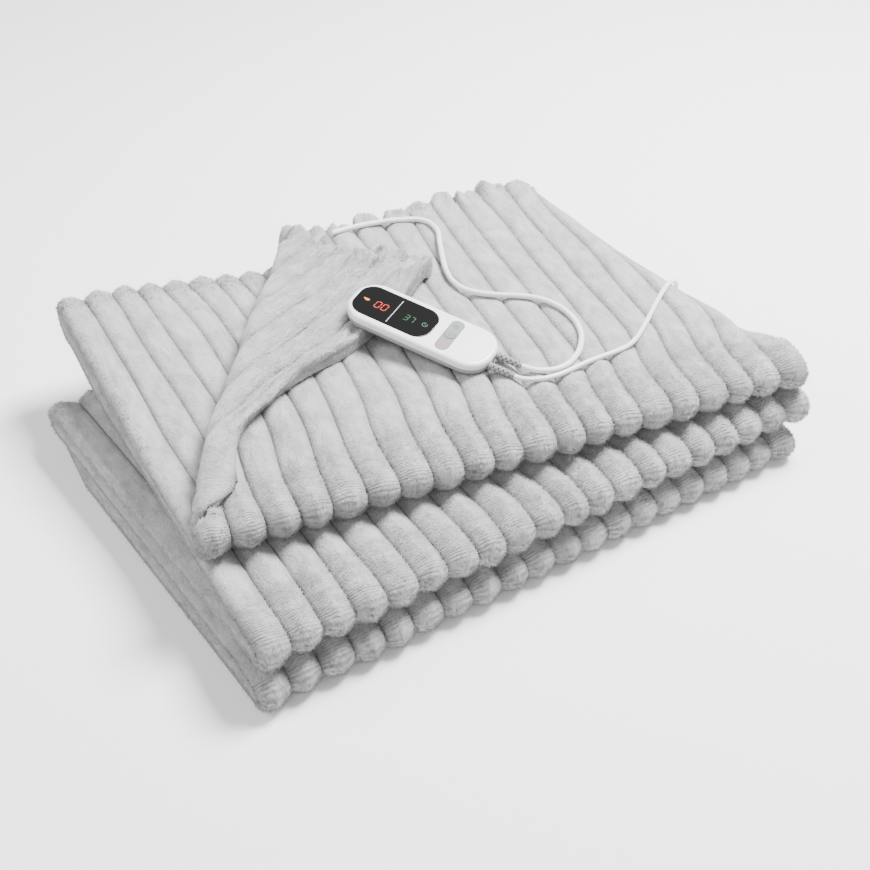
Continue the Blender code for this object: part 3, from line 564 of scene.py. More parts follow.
def top_rows():
    """The flat plan of the top layer, leaned, hung over the side and turned back."""
    shares, length = top_shares()
    start, end = layer_ends(5)
    plan = start + (end - start) * shares[..., None]
    plan[..., 0] += TOP_LEAN * across ** 0.5 * ease(plan[..., 1] - plan[:1, :, 1], 0.0, 0.09)
    rib_bulge = 1.0 - np.abs(2.0 * (columns % 1.0) - 1.0) ** 2.2
    plan[..., 1] += END_BULGE * rib_bulge * ease(shares, 0.93, 1.0)
    points = np.dstack([plan, layer_height(5, plan)])
    return turn_back(plan, hang(points)), plan


# %% [markdown]
# The sheet is laid row by row: a layer, the roll that ends it, the next layer, and so on. Each
# row also keeps how far its two faces lie on the outside of a roll, and its kind, which is 0 to
# 5 for a layer and 10 to 14 for a roll.

# %% All rows of the middle surface
LAYER_SHARES = [
    np.linspace(0.0, 0.93, 6),
    np.array([0.03, 0.08, 0.16, 0.3, 0.5, 0.7, 0.86, 0.95]),
    np.array([0.05, 0.16, 0.35, 0.6, 0.80, 0.90, 0.95, 0.98]),
    np.concatenate([np.linspace(0.012, 0.26, 22), np.linspace(0.30, 0.96, 12)]),
    np.linspace(0.025, 0.975, 34),
]
ROLL_COUNTS = [19, 9, 21, 15, 21]
FOOT_REACH, FOOT_PASSES = 0.024, 16
laid = []


def near_roll(rows, index, back=0.0):
    """1 within 12 mm of a fold line, fading to 0 at 45 mm, both plus the shoulder behind it."""
    line, _ = fold_line(index)
    return 1.0 - ease(np.abs(rows[..., 1] - line[:, 1]) - back, 0.012, 0.045)


def lay(rows, front, back, kind):
    """Keeps rows with the share of each face that is on a roll's outside, and their kind."""
    laid.append((rows, np.broadcast_to(front, rows.shape[:2]),
                 np.broadcast_to(back, rows.shape[:2]), np.full(len(rows), kind)))


for layer in range(5):
    to_back = layer % 2 == 0
    rows = layer_rows(layer, LAYER_SHARES[layer])
    first, last = near_roll(rows, layer, shoulder(layer)), near_roll(rows, layer + 1)
    front, back = (last, first) if to_back else (first, last)
    lay(rows, front, back if layer else 0.0, layer)
    rows = roll_rows(layer + 1, np.linspace(0.0, 1.0, ROLL_COUNTS[layer]))
    lay(rows, float(to_back), float(not to_back), 10 + layer)
rows, top_flat = top_rows()
past_crease = crease_reach(top_flat)
top_front = 1.0 - ease(top_flat[..., 1] - shoulder(5), 0.012, 0.060)
lay(rows[1:], np.where(past_crease > 0.0, 0.0, top_front)[1:], 0.0, 5)
middle, outside, inside, kinds = (np.concatenate(parts) for parts in zip(*laid))
# the hard turn at the crease's foot is evened out: there each point moves, a little at a time,
# towards the mean of its neighbours along its column
foot_gap = np.linalg.norm(middle[..., :2] - CREASE_FOOT, axis=2)
foot_pull = np.exp(-(foot_gap / FOOT_REACH) ** 2) * ((kinds == 5) | (kinds == 14))[:, None]
for _ in range(FOOT_PASSES):
    neighbours = (middle[:-2] + middle[2:]) / 2.0
    middle[1:-1] += 0.5 * foot_pull[1:-1, :, None] * (neighbours - middle[1:-1])
print("rows of the cloth", len(middle), "triangles", 4 * (len(middle) - 1) * (len(columns) - 1))

# %% [markdown]
# ## Soft unevenness
#
# Real plush is never as even as a formula. The channels waver by a millimetre or two, the
# filling settles into slow humps, and every stitched groove puckers. Each of these is a short
# sum of sine waves with fixed phases, so every run gives the same cloth. They are functions of
# the distance across and along the sheet, which is what makes them follow the folds.

# %% Waves of the cloth
SEED = 20
WAVER, HUMP, FLAP_HUMP, FLAP_LUMP = 0.0011, 0.0008, 0.0022, 0.0010
GATHER_OUT, GATHER_UP, CORNER_RADIUS = 0.0042, 0.0034, 0.032
phases = np.random.default_rng(SEED)


def waves(x, y, short, long, count=9, stretch=1.0):
    """Mean of `count` plane sine waves with lengths from short to long, scaled to about +-1."""
    total = 0.0
    for _ in range(count):
        length = phases.uniform(short, long)
        heading = phases.uniform(0.0, 2.0 * math.pi)
        phase = phases.uniform(0.0, 2.0 * math.pi)
        ahead = x * math.cos(heading) + y * math.sin(heading) / stretch
        total = total + np.sin(2.0 * math.pi / length * ahead + phase)
    return total / math.sqrt(count)


sheet_x = np.broadcast_to(across * SHEET_WIDTH, middle.shape[:2])
steps = np.linalg.norm(np.diff(middle, axis=0), axis=2)
sheet_y = np.vstack([np.zeros(len(columns)), np.cumsum(steps, axis=0)])
sheet_y = 0.5 * sheet_y + 0.5 * sheet_y.mean(axis=1, keepdims=True)
print("sheet length along its middle", round(float(steps.sum(axis=0).mean()), 3))

rib_number = np.minimum(np.floor(columns), RIB_COUNT - 1).astype(int)
rib_place = columns - rib_number
sideways, along = unit(np.gradient(middle, axis=1)), unit(np.gradient(middle, axis=0))
normal = unit(np.cross(sideways, along))

# grooves waver sideways, except at the side hems
inner_share = ease(columns, 0.0, 1.5) * ease(RIB_COUNT - columns, 0.0, 1.5)
waver = WAVER * waves(sheet_x, sheet_y, 0.05, 0.16) * inner_share
# slow humps of the whole layer, kept small where layers rest on each other
free = np.where(kinds >= 5, 1.0, 0.35)[:, None] * np.ones(len(columns))
free[kinds == 4] = 0.8
hump = HUMP * waves(sheet_x, sheet_y, 0.07, 0.20) * free
# the turned-back corner was handled most: its humps are larger and shorter
flap_share = np.zeros(middle.shape[:2])
flap_share[kinds == 5] = ease(past_crease[1:], 0.015, 0.05)
hump = hump + flap_share * (FLAP_HUMP * waves(sheet_x, sheet_y, 0.035, 0.09)
                            + FLAP_LUMP * waves(sheet_x, sheet_y, 0.018, 0.035, count=14))
middle_soft = middle + sideways * waver[..., None] + normal * hump[..., None]
# square corners are rounded: with a and b from 0 to 1 towards the corner, a becomes
# a sqrt(1 - b^2 / 2) and b becomes b sqrt(1 - a^2 / 2), which maps a square to a quarter disc
from_end = sheet_y[-1:] - sheet_y
from_start = sheet_y - sheet_y[:1]
a = np.clip(1.0 - np.minimum(sheet_x, SHEET_WIDTH - sheet_x) / CORNER_RADIUS, 0.0, 1.0)
b = np.clip(1.0 - np.minimum(from_start, from_end) / CORNER_RADIUS, 0.0, 1.0)
draw_x = CORNER_RADIUS * a * (1.0 - np.sqrt(1.0 - b ** 2 / 2.0))
draw_y = CORNER_RADIUS * b * (1.0 - np.sqrt(1.0 - a ** 2 / 2.0))
draw_x = np.where(sheet_x < SHEET_WIDTH / 2.0, draw_x, -draw_x)
draw_y = np.where(from_start < from_end, draw_y, -draw_y)
middle_soft += sideways * draw_x[..., None] + along * draw_y[..., None]
# the last hem runs in and out by 4 mm, and up and down by 3 mm, as its stitches gather it
gathered = (1.0 - ease(from_end, 0.0, 0.045)) * (kinds == 5)[:, None]
run_out = GATHER_OUT * gathered * waves(sheet_x, 0.0 * sheet_y, 0.022, 0.05)
middle_soft += along * run_out[..., None]
rise = GATHER_UP * gathered * waves(sheet_x, sheet_y, 0.028, 0.06)
middle_soft += normal * rise[..., None]

# %% [markdown]
# ## The two faces
#
# A quilted channel swells between two stitched grooves. Where the cloth lies flat, the swelling
# is a low pillow with a narrow groove. Round the outside of a roll the stitches pull deep, so the
# channels stand out as scallops, and no two swell alike. At the side edges the plush is turned
# in, which makes half a rib into a plump hem without a groove of its own. The last hem is
# gathered by its stitches into lumps, plumpest where the corner is turned back.

# %% Thickness of the cloth
GROOVE_FLAT, GROOVE_ROLL, GROOVE_INNER = 0.0046, 0.0092, 0.0040
INNER_THIN = 0.0007      # how much thinner the inside of a roll is
LEAST_HALF = 0.0012      # nowhere is half of the cloth thinner than this
KNOB_DEPTH, KNOB_MORE = 0.0048, 0.0040      # on every last hem, and more on the turned corner
LUMP_HEIGHT, PLUMP_HEIGHT, SWELL_HEIGHT, PUCKER_HEIGHT = 0.0052, 0.0034, 0.0022, 0.0005
ROUND_RISE = 0.0020      # how far a round channel's crown stands above a flat one's
HEM_SHARES = np.array([
    # ribs from the edge, share of the half thickness, and the same for the turned-back layer
    (0.00, 0.24, 0.16), (0.03, 0.48, 0.34), (0.08, 0.70, 0.54), (0.17, 0.90, 0.84),
    (0.32, 1.03, 1.04), (0.50, 1.04, 0.66), (0.68, 1.00, 1.00), (0.83, 1.00, 1.06),
    (1.00, 1.00, 1.00), (20.0, 1.00, 1.00),
])
END_SHARES = np.array([
    # distance from the end hem in metres, share of the half thickness
    (0.0, 0.42), (0.001, 0.76), (0.0025, 1.02), (0.005, 1.26), (0.0085, 1.36), (0.013, 1.12),
    (0.019, 1.22), (0.026, 1.26), (0.040, 1.12), (0.060, 1.0), (9.0, 1.0),
])

# how near a point of the two layers that show is to the roll in front of it
behind_roll = np.zeros(middle.shape[:2])
for layer in (3, 5):
    front_y = fold_line(layer)[0][:, 1]
    shown = kinds == layer
    behind_roll[shown] = 1.0 - ease(middle[shown][..., 1] - front_y, 0.05, 0.16)
behind_roll *= 1.0 - flap_share
rib_swell = 1.0 + 0.10 * phases.normal(size=RIB_COUNT)[rib_number]
rib_swell = rib_swell * (1.0 + 0.05 * waves(sheet_x, sheet_y, 0.05, 0.12))
# towards the last hem the grooves gather the cloth into knobs, half a rib wide
knobs = np.exp(-((from_end - 0.004) / 0.015) ** 2)
knobs = knobs * (0.5 + 0.5 * np.cos(4.0 * np.pi * columns + 1.3 * np.sin(2.9 * columns)))
# and both faces swell and sink by up to 5 mm in lumps of 16 to 28 mm
hem_lumps = np.exp(-((from_end - 0.013) / 0.017) ** 2) * (0.45 + 0.55 * flap_share)
hem_lumps = LUMP_HEIGHT * hem_lumps * waves(sheet_x, sheet_y, 0.016, 0.028, count=12)
# the last hem of the turned-back corner is gathered into the plumpest lumps
plump_hem = PLUMP_HEIGHT * np.exp(-((from_end - 0.012) / 0.010) ** 2) * flap_share

# the outer half of each outermost rib is the rolled hem, which has no groove
at_hem = (columns < 0.5) | (columns > RIB_COUNT - 0.5)
off_crown = np.where(at_hem, 0.0, np.abs(2.0 * rib_place - 1.0))


def pillow(power):
    """1 - |2u - 1|^power across one rib: 0 in the groove, 1 along the crown."""
    return 1.0 - off_crown ** power


def half_thickness(outer, inner):
    """Full thickness less a pillow and a narrow seam, times the thinning at the hems.
    Near a front roll, for 13 cm behind it and on the turned-back corner, the channels are
    rounder and their grooves deeper."""
    round_share = np.maximum(np.maximum(outer, behind_roll), 0.5 * flap_share)
    low_pillow = pillow(4.0) + (pillow(1.35) - pillow(4.0)) * round_share
    seam = pillow(16.0)
    groove_depth = GROOVE_FLAT + (GROOVE_ROLL - GROOVE_FLAT) * round_share * rib_swell
    groove_depth = groove_depth + (GROOVE_INNER - groove_depth) * inner
    groove_depth = groove_depth * (1.0 - 0.30 * flap_share)
    thick = HALF_THICK - INNER_THIN * inner + ROUND_RISE * round_share * (1.0 - inner)
    thick = thick - groove_depth * (0.75 * (1.0 - low_pillow) + 0.25 * (1.0 - seam))
    thick = thick + SWELL_HEIGHT * outer * (rib_swell - 1.0) * low_pillow
    edge = np.minimum(columns, RIB_COUNT - columns)
    hem = [np.interp(edge, HEM_SHARES[:, 0], HEM_SHARES[:, k]) for k in (1, 2)]
    hem = hem[0] + (hem[1] - hem[0]) * flap_share
    end = np.interp(np.minimum(from_start, from_end), END_SHARES[:, 0], END_SHARES[:, 1])
    thick = thick * hem * end + hem_lumps * end * hem
    thick = thick - (KNOB_DEPTH + KNOB_MORE * flap_share) * knobs * (hem > 0.3)
    thick = thick + plump_hem * np.minimum(hem, 1.0)
    return np.maximum(thick, LEAST_HALF)


# %% Front and back face
# puckers 18 to 32 mm long beside the grooves, up to 0.5 mm
pucker = PUCKER_HEIGHT * waves(sheet_x, sheet_y, 0.018, 0.032, count=12, stretch=0.7)
pucker = pucker * (np.abs(2.0 * rib_place - 1.0) ** 2 + 1.2 * flap_share) * (sheet_y > 0.02)
front_half = half_thickness(outside, inside) + pucker * (1.0 - inside)
back_half = half_thickness(inside, outside) - pucker * (1.0 - outside)
front_face = middle_soft + normal * front_half[..., None]
back_face = middle_soft - normal * back_half[..., None]
for face in (front_face, back_face):
    face[..., 2] = np.maximum(face[..., 2], 0.0)

# %% [markdown]
# The two faces share their hems: quads join them round all four edges, so the cloth is one
# closed body. Its points also carry what the material needs: the place across and along the
# sheet, how much the face lies on a roll's outside, and how much it was handled.

# %% One closed mesh
RIM_INSET = 0.0015      # how far the line between the two faces is drawn in
count = middle[..., 0].size
cells = grid_quads(*middle.shape[:2])
index = np.arange(count).reshape(middle.shape[:2])
loop = np.concatenate([index[:, 0], index[-1, 1:], index[-2::-1, -1], index[0, -2:0:-1]])
inward = np.zeros_like(middle)
inward[:, 0], inward[:, -1] = sideways[:, 0], -sideways[:, -1]
inward[0, 1:-1], inward[-1, 1:-1] = along[0, 1:-1], -along[-1, 1:-1]
rim_line = (0.5 * (front_face + back_face) + RIM_INSET * inward).reshape(-1, 3)[loop]
middle_loop = 2 * count + np.arange(len(loop))
rim = [np.stack([one, np.roll(one, -1), np.roll(two, -1), two], axis=-1)
       for one, two in ((loop, middle_loop), (middle_loop, loop + count))]
sheet_points = to_part(np.concatenate([
    front_face.reshape(-1, 3), back_face.reshape(-1, 3), rim_line]))
sheet_quads = np.concatenate([cells, count + cells[:, ::-1], *rim])
print("points", len(sheet_points), "quads", len(sheet_quads))

# %% [markdown]
# ## Plush
#
# Flannel fleece is a polyester pile about 5 mm long, brushed and sheared. Light catches the
# tips, so its edges glow a little: that is the sheen. Where a hand has passed, the pile lies
# over and a patch looks lighter or darker: that is a slow noise between two greys. The pile
# itself shows as fine grains, with painted shade between the tips. Where the cloth bends round
# a roll it opens in short cracks across the channel, and where it was handled it stands in locks
# with furrows between them. The cracks, the furrows and the grooves with their seams are
# darkened with painted shade.
# The patterns run on the sheet's own two distances, so they follow the folds.

# %% Material of the cloth
plush, tree, surface = new_material("brushed flannel fleece, light grey, with painted shade", {
    "Roughness": 0.95, "Specular IOR Level": 0.12, "Sheen Weight": 0.35, "Sheen Roughness": 0.45})
SHEET_VALUES = ("across", "along", "bend", "handled")
across_m, along_m, bend, handled = (
    add(tree, "Attribute", attribute_name=name).outputs["Fac"] for name in SHEET_VALUES)
on_sheet = add(tree, "CombineXYZ", [across_m, along_m])


def sheet_noise(size_mm, stretch_x, stretch_y, detail, distortion=0.0, roughness=0.5):
    """Noise whose grains are size_mm wide, drawn out by the two stretches across and along."""
    spread = add(tree, "Mapping", {"Vector": on_sheet,
                                   "Scale": (1.0 / stretch_x, 1.0 / stretch_y, 1.0)})
    return add(tree, "TexNoise", {"Vector": spread, "Scale": 1000.0 / size_mm, "Detail": detail,
                                  "Distortion": distortion, "Roughness": roughness})


# A MapRange takes its value, the two ends of what comes in, and the two of what goes out.
# Hand marks are blots of 24 mm, and streaks of laid pile are 6 by 21 mm.
patches = add(tree, "MapRange", [sheet_noise(24.0, 1.0, 1.3, 5.0, distortion=0.8), 0.34, 0.60])
streaks = add(tree, "MapRange", [sheet_noise(6.0, 1.0, 3.5, 3.0), 0.32, 0.68])
nap = add(tree, "Mix", {"Factor": 0.45, "A": patches, "B": streaks}, data_type="FLOAT")
# grains of pile 1.5 by 2.4 mm; painted shade darkens the cloth between the pile tips, so it is
# lighter at the tips
grain = sheet_noise(1.5, 1.0, 1.6, 2.0, roughness=0.6)
shade_between_tips = add(tree, "MapRange", [grain, 0.36, 0.62, 0.34, 0.0])
# on the turned-back corner the pile stands in locks, with furrows 4 by 16 mm between them; the
# furrows sink in the relief and are darkened with painted shade
furrows = add(tree, "MapRange",
              [sheet_noise(4.0, 1.0, 4.0, 4.0, distortion=0.6), 0.38, 0.58, 1.0, 0.0])
furrows = add(tree, "Math", [furrows, add(tree, "MapRange", [handled, 0.1, 1.0, 0.0, 0.5])],
              operation="MULTIPLY")

# %% Cracks and seams of the cloth
# pile cracks on the outside of a roll: rows 2.1 mm apart, in groups 8 by 14 mm, which sink in
# the relief and are darkened with painted shade. A wave texture's period is 2 pi / (20 scale).
rows_of_pile = add(tree, "TexWave", {
    "Vector": on_sheet, "Scale": 2.0 * math.pi / (20.0 * 0.0021), "Distortion": 2.2,
    "Detail": 2.0, "Detail Scale": 1.2}, bands_direction="Y").outputs["Fac"]
cracks = add(tree, "MapRange", [rows_of_pile, 0.15, 0.70, 1.0, 0.0])
for share in (add(tree, "MapRange", [sheet_noise(8.0, 1.8, 1.0, 3.0), 0.34, 0.62]),
              add(tree, "MapRange", [bend, 0.15, 0.95, 0.0, 0.75])):
    cracks = add(tree, "Math", [cracks, share], operation="MULTIPLY")
# painted shade in the grooves: a dark band up to 7 mm wide on each side of a groove, and a
# darker line 1.4 mm wide along its seam, which wavers by up to a millimetre.
# The place in the rib is the fraction of across / 31 mm, and its distance from the middle.
stray = add(tree, "MapRange", [sheet_noise(9.0, 1.0, 1.0, 2.0), 0.0, 1.0, -0.0009, 0.0009])
from_seam = add(tree, "Math", [across_m, stray], operation="ADD")
from_seam = add(tree, "Math", [from_seam, RIB_WIDTH], operation="DIVIDE")
from_seam = add(tree, "Math", [from_seam, 0.5], operation="PINGPONG")
# the painted shade of the grooves is weaker where the cloth was handled
kept = add(tree, "MapRange", [handled, 0.0, 1.0, 1.0, 0.45])
groove, seam = (add(tree, "Math", [add(tree, "MapRange", [from_seam, *ends]), kept],
                    operation="MULTIPLY")
                for ends in ((0.03, 0.24, 0.34, 0.0), (0.008, 0.036, 0.7, 0.0)))

# %% Colour and relief of the cloth
# each of these lays its own dark grey over the two greys of the nap as painted shade: between
# the pile tips, in the furrows and the cracks, beside the grooves and along their seams
tone = add(tree, "Mix", {"Factor": nap, "A": linear("#979798"), "B": linear("#c2c2c3")},
           data_type="RGBA")
for share, shade in ((shade_between_tips, "#727273"), (furrows, "#8e8e8f"), (cracks, "#7f7f80"),
                     (groove, "#747475"), (seam, "#606061")):
    tone = add(tree, "Mix", {"Factor": share, "A": tone, "B": linear(shade)}, data_type="RGBA")
# relief: grains, tufts of pile 4.5 by 7 mm, furrows and cracks that sink, and the hand marks
lumps = add(tree, "Math", [sheet_noise(4.5, 1.0, 1.5, 2.0),
                           add(tree, "MapRange", [handled, 0.0, 1.0, 1.0, 2.4])],
            operation="MULTIPLY")
lift = None
for height, strength, distance, sunk in (
        (grain, 1.0, 0.0014, False), (lumps, 0.45, 0.0016, False), (furrows, 0.8, 0.0030, True),
        (cracks, 0.8, 0.0012, True), (patches, 0.35, 0.002, False)):
    lift = add(tree, "Bump", {"Height": height, "Strength": strength, "Distance": distance,
                              "Normal": lift}, invert=sunk)
fill(surface, {"Base Color": tone, "Normal": lift})

# %% The cloth as a piece
# the back face reads its patterns elsewhere, so the two faces never match
BACK_ACROSS, BACK_ALONG = 30 * RIB_WIDTH, 0.37
blanket = new_piece("blanket_cloth", sheet_points, sheet_quads, plush)
for name, front_value, back_value in zip(
        SHEET_VALUES, (sheet_x, sheet_y, outside, flap_share),
        (sheet_x + BACK_ACROSS, sheet_y + BACK_ALONG, inside, flap_share)):
    add_value(blanket.data, name, np.concatenate([
        front_value.ravel(), back_value.ravel(), front_value.ravel()[loop]]))
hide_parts("blanket")

# %% [markdown]
# The cloth also gets a map of its own, so that its patterns can be baked without stretching.
# Both faces in a row are 5.2 m by 0.62 m of cloth. Cut across in three, they fill a square.

# %% A flat map of the cloth
STRIPS = 3
sheet_length = float(sheet_y[-1].max())
strip_length = 2.0 * sheet_length / STRIPS
flat_y = np.concatenate([sheet_y.ravel(), sheet_length + sheet_y.ravel(), np.zeros(len(loop))])
flat_x = np.concatenate([sheet_x.ravel(), sheet_x.ravel(), np.zeros(len(loop))]) / SHEET_WIDTH
of_strip = np.minimum(flat_y[sheet_quads].mean(axis=1) // strip_length, STRIPS - 1)[:, None]
map_u = (of_strip + 0.01 + 0.98 * flat_x[sheet_quads]) / STRIPS
map_v = 0.95 * (flat_y[sheet_quads] - of_strip * strip_length) / strip_length
# the rim's two bands lie above the strips
rim_step = np.arange(len(loop)) / len(loop)
rim_u = np.stack([rim_step, rim_step + 1.0 / len(loop)] * 2, axis=-1)[:, [0, 1, 3, 2]]
for band in range(2):
    first = 2 * len(cells) + band * len(loop)
    map_u[first:first + len(loop)] = rim_u
    map_v[first:first + len(loop)] = 0.965 + 0.015 * (band + np.array([0.0, 0.0, 1.0, 1.0]))
bake_map = blanket.data.uv_layers.new(name="OFBake")
bake_map.data.foreach_set("uv", np.dstack([map_u, np.clip(map_v, 0.0, 1.0)]).ravel())
print("map of the cloth", map_u.shape)

# %% [markdown]
# ## Tufts of pile
#
# Bump alone leaves an outline as clean as moulded rubber. A fleece's outline is fuzzy, so
# small tufts stand on the cloth wherever it can be seen, most of them on the rolls and hems.
# Each tuft is a slim closed pyramid of four faces, leaning with the nap. Hair could do it too,
# but a mesh keeps its shape in every renderer. The tufts borrow the normals of the cloth they
# stand on, so they catch light as one soft surface and not as thousands of spikes.

# %% Where the pile shows
sheet_bvh = BVHTree.FromPolygons(sheet_points.tolist(), sheet_quads.tolist())
FREE_HEIGHT, START_HEIGHT, TIP_HEIGHT = 0.012, 0.0016, 0.006
WANTED_BACK, WANTED_SIDE, WANTED_FLAP, WANTED_END = 0.35, 0.3, 0.45, 0.8


def cell_facts(face, flip):
    """Centre, outward normal (cross of the diagonals) and area of each cell of one face."""
    corners = [face[:-1, :-1], face[:-1, 1:], face[1:, 1:], face[1:, :-1]]
    cross = np.cross(corners[2] - corners[0], corners[3] - corners[1]) * (-1.0 if flip else 1.0)
    return sum(corners) / 4.0, unit(cross), np.linalg.norm(cross, axis=2) / 2.0


def shows(centre, normal):
    """True where a ray of 12 mm from the cell meets no other cloth, and the floor is clear."""
    start, way = (centre + START_HEIGHT * normal).reshape(-1, 3), normal.reshape(-1, 3)
    free = [sheet_bvh.ray_cast(one, two, FREE_HEIGHT)[0] is None
            for one, two in zip(start.tolist(), way.tolist())]
    above = (start + TIP_HEIGHT * way)[:, 2] > 0.0
    return (np.array(free) & above).reshape(centre.shape[:2])


# the pile stands thick on the rolls, the side hems, the turned-back corner and the last hem
places = []
for face, flip, bent, shift_x, shift_y in (
        (to_part(front_face), False, outside, 0.0, 0.0),
        (to_part(back_face), True, inside, BACK_ACROSS, BACK_ALONG)):
    centre, cell_normal, area = cell_facts(face, flip)
    edge = np.minimum(columns, RIB_COUNT - columns)[:-1]
    wanted = bent[:-1, :-1] ** 2 * (WANTED_BACK if flip else 1.0) + WANTED_SIDE * (edge < 0.2)
    wanted = wanted + WANTED_FLAP * flap_share[:-1, :-1]
    wanted = wanted + WANTED_END * (from_end[:-1, :-1] < 0.03)
    weight = area * shows(centre, cell_normal) * wanted
    facts = np.dstack([sheet_x + shift_x, sheet_y + shift_y, bent, flap_share])
    places.append((face, cell_normal, facts, weight))
    print("cells that show", int((weight > 0).sum()),
          "area", round(float(area[weight > 0].sum()), 3))

# %% [markdown]
# A tuft's root is a random place in a random cell, drawn by the cell's weight. It leans along
# the sheet, more upright on a roll than on flat cloth, and a little to one side by chance. Its
# foot is a triangle of points sunk below the surface, and its tip is the fourth point.

# %% Pyramids that lean with the nap
TUFTS_A_PIECE, TUFT_PIECES = 36000, 3
TUFT_LENGTH, TUFT_RADIUS = (0.0014, 0.0032), (0.00030, 0.00052)
ROOT_DEPTH, LEAN_SPREAD = 0.0006, 0.25
UPRIGHT_FLAT, UPRIGHT_MORE = 0.55, 0.35     # on flat cloth, and how much more on a roll
LEAN_FLAT, LEAN_LESS = 0.75, 0.45           # ahead, and how much less as it stands up
TUFT_FACES = np.array([[0, 1, 3], [1, 2, 3], [2, 0, 3], [0, 2, 1]])
grow = np.random.default_rng(SEED + 1)


def blend_corners(values, row, column, s, t):
    """Bilinear value inside the cell (row, column) at the shares s down and t across."""
    s, t = s[:, None], t[:, None]
    return ((1 - s) * (1 - t) * values[row, column] + (1 - s) * t * values[row, column + 1]
            + s * t * values[row + 1, column + 1] + s * (1 - t) * values[row + 1, column])


def tuft_roots(face, cell_normal, facts, weight, count):
    """Roots on one face: place, normal, way of leaning and the four values of the sheet."""
    sums = np.cumsum(weight.ravel())
    cell = np.searchsorted(sums, grow.random(count) * sums[-1])
    row, column = np.unravel_index(cell, weight.shape)
    inside_cell = row, column, grow.random(count), grow.random(count)
    up = cell_normal[row, column]
    ahead = unit(face[row + 1, column] - face[row, column])
    values = blend_corners(facts, *inside_cell)
    upright = UPRIGHT_FLAT + UPRIGHT_MORE * values[:, 2]
    forward = LEAN_FLAT - LEAN_LESS * upright
    lean = up * upright[:, None] + ahead * forward[:, None]
    lean = lean + np.cross(ahead, up) * grow.normal(0.0, LEAN_SPREAD, (count, 1))
    return blend_corners(face, *inside_cell), up, unit(lean), values


front_share = places[0][-1].sum() / (places[0][-1].sum() + places[1][-1].sum())
for number in range(TUFT_PIECES):
    both = [tuft_roots(*place, int(round(TUFTS_A_PIECE * share)))
            for place, share in zip(places, (front_share, 1.0 - front_share))]
    root, up, lean, value = (np.vstack(parts) for parts in zip(*both))
    count = len(root)
    length = grow.uniform(*TUFT_LENGTH, (count, 1))
    radius = grow.uniform(*TUFT_RADIUS, (count, 1, 1))
    first = unit(np.cross(lean, grow.normal(size=(count, 3))))
    second = np.cross(lean, first)
    turn = np.radians([0.0, 120.0, 240.0])[:, None]
    ring = first[:, None] * np.cos(turn) + second[:, None] * np.sin(turn)
    base = (root - ROOT_DEPTH * up)[:, None] + ring * radius
    points = np.concatenate([base, (root + lean * length)[:, None]], axis=1)
    points[..., 2] = np.maximum(points[..., 2], 0.0)
    faces = 4 * np.arange(count)[:, None, None] + TUFT_FACES
    tufts = new_piece(f"pile_tufts_{number + 1}", points, faces.reshape(-1, 3), plush)
    for k, name in enumerate(SHEET_VALUES):
        add_value(tufts.data, name, np.repeat(value[:, k], 4))
    # a square of the map for each tuft, and the cloth's normals for its four points
    side = int(math.ceil(math.sqrt(count)))
    corner = np.stack(np.unravel_index(np.arange(count), (side, side)), axis=-1)
    corner = corner[:, None, None] + np.array([[0.1, 0.1], [0.9, 0.1], [0.1, 0.9]])
    spread = np.broadcast_to(corner / side, (count, 4, 3, 2))
    tufts.data.uv_layers.new(name="OFBake").data.foreach_set("uv", spread.ravel())
    tufts.data.normals_split_custom_set_from_vertices(np.repeat(up, 4, axis=0).tolist())
    print(tufts.name, count)

# %% [markdown]
# ## The hand control
#
# The control is two moulded ABS shells, snapped together: a white upper one and a light grey
# lower one, darkened with painted shade, with a black acrylic window, a grey key strip and one
# round key. Each shell is a rounded
# outline carried through a short profile, which rounds its rim evenly. The pockets for the
# window, the strip and the key are cut with a Boolean, as a mould's inserts would form them.
# Everything is made flat in the control's own frame and then set down on the pile.

# %% The control's own frame
CONTROL_LENGTH, CONTROL_WIDTH, CONTROL_CORNER, CONTROL_THICK = 0.156, 0.058, 0.0245, 0.0150
SEAM_HEIGHT, LOWER_ROUND, UPPER_ROUND, GAP = 0.0080, 0.0060, 0.0042, 0.0003
LENS_LENGTH, LENS_WIDTH, LENS_CORNER, LENS_X = 0.0860, 0.0435, 0.0155, -0.0302
STRIP_LENGTH, STRIP_WIDTH, STRIP_CORNER, STRIP_X = 0.0455, 0.0135, 0.0065, 0.0302
POCKET_DEPTH, PROUD, BUTTON_RADIUS, BUTTON_PROUD = 0.0022, 0.0002, 0.0052, 0.0008
WINDOW_EDGE, KEY_HOLE_DEPTH, FLAT_BAND = 0.0005, 0.0009, 0.0004
CONTROL_PLACE = (0.2414, 0.1656, 0.1185)
HEADING, PITCH, ROLL = (math.radians(angle) for angle in (-51.3, 8.3, 4.2))
SHARP = math.radians(35)    # edges that turn by more than this stay sharp

control_frame = np.array(
    Matrix.Translation(to_part(CONTROL_PLACE)) @ Matrix.Rotation(HEADING, 4, "Z")
    @ Matrix.Rotation(PITCH, 4, "Y") @ Matrix.Rotation(ROLL, 4, "X"))


def on_control(points):
    """Points of the control's own frame, turned and moved to their place on the pile."""
    points = np.asarray(points, float)
    return points @ control_frame[:3, :3].T + control_frame[:3, 3]


def outline(length, width, corner, count):
    """Rounded rectangle: each quadrant's corner centre plus corner radius times (cos, sin)."""
    turn = 2.0 * np.pi * (np.arange(count) + 0.5) / count
    x, y = np.cos(turn), np.sin(turn)
    return np.column_stack([np.sign(x) * (length / 2.0 - corner) + corner * x,
                            np.sign(y) * (width / 2.0 - corner) + corner * y])


def rounded_slab(stations, length, width, corner, x=0.0, count=160):
    """The outline, moved by x, carried through (inset, height) stations and closed."""
    return closed_tube([
        np.column_stack([outline(length - 2 * inset, width - 2 * inset, corner - inset, count)
                         + (x, 0.0), np.full(count, height)]) for inset, height in stations])


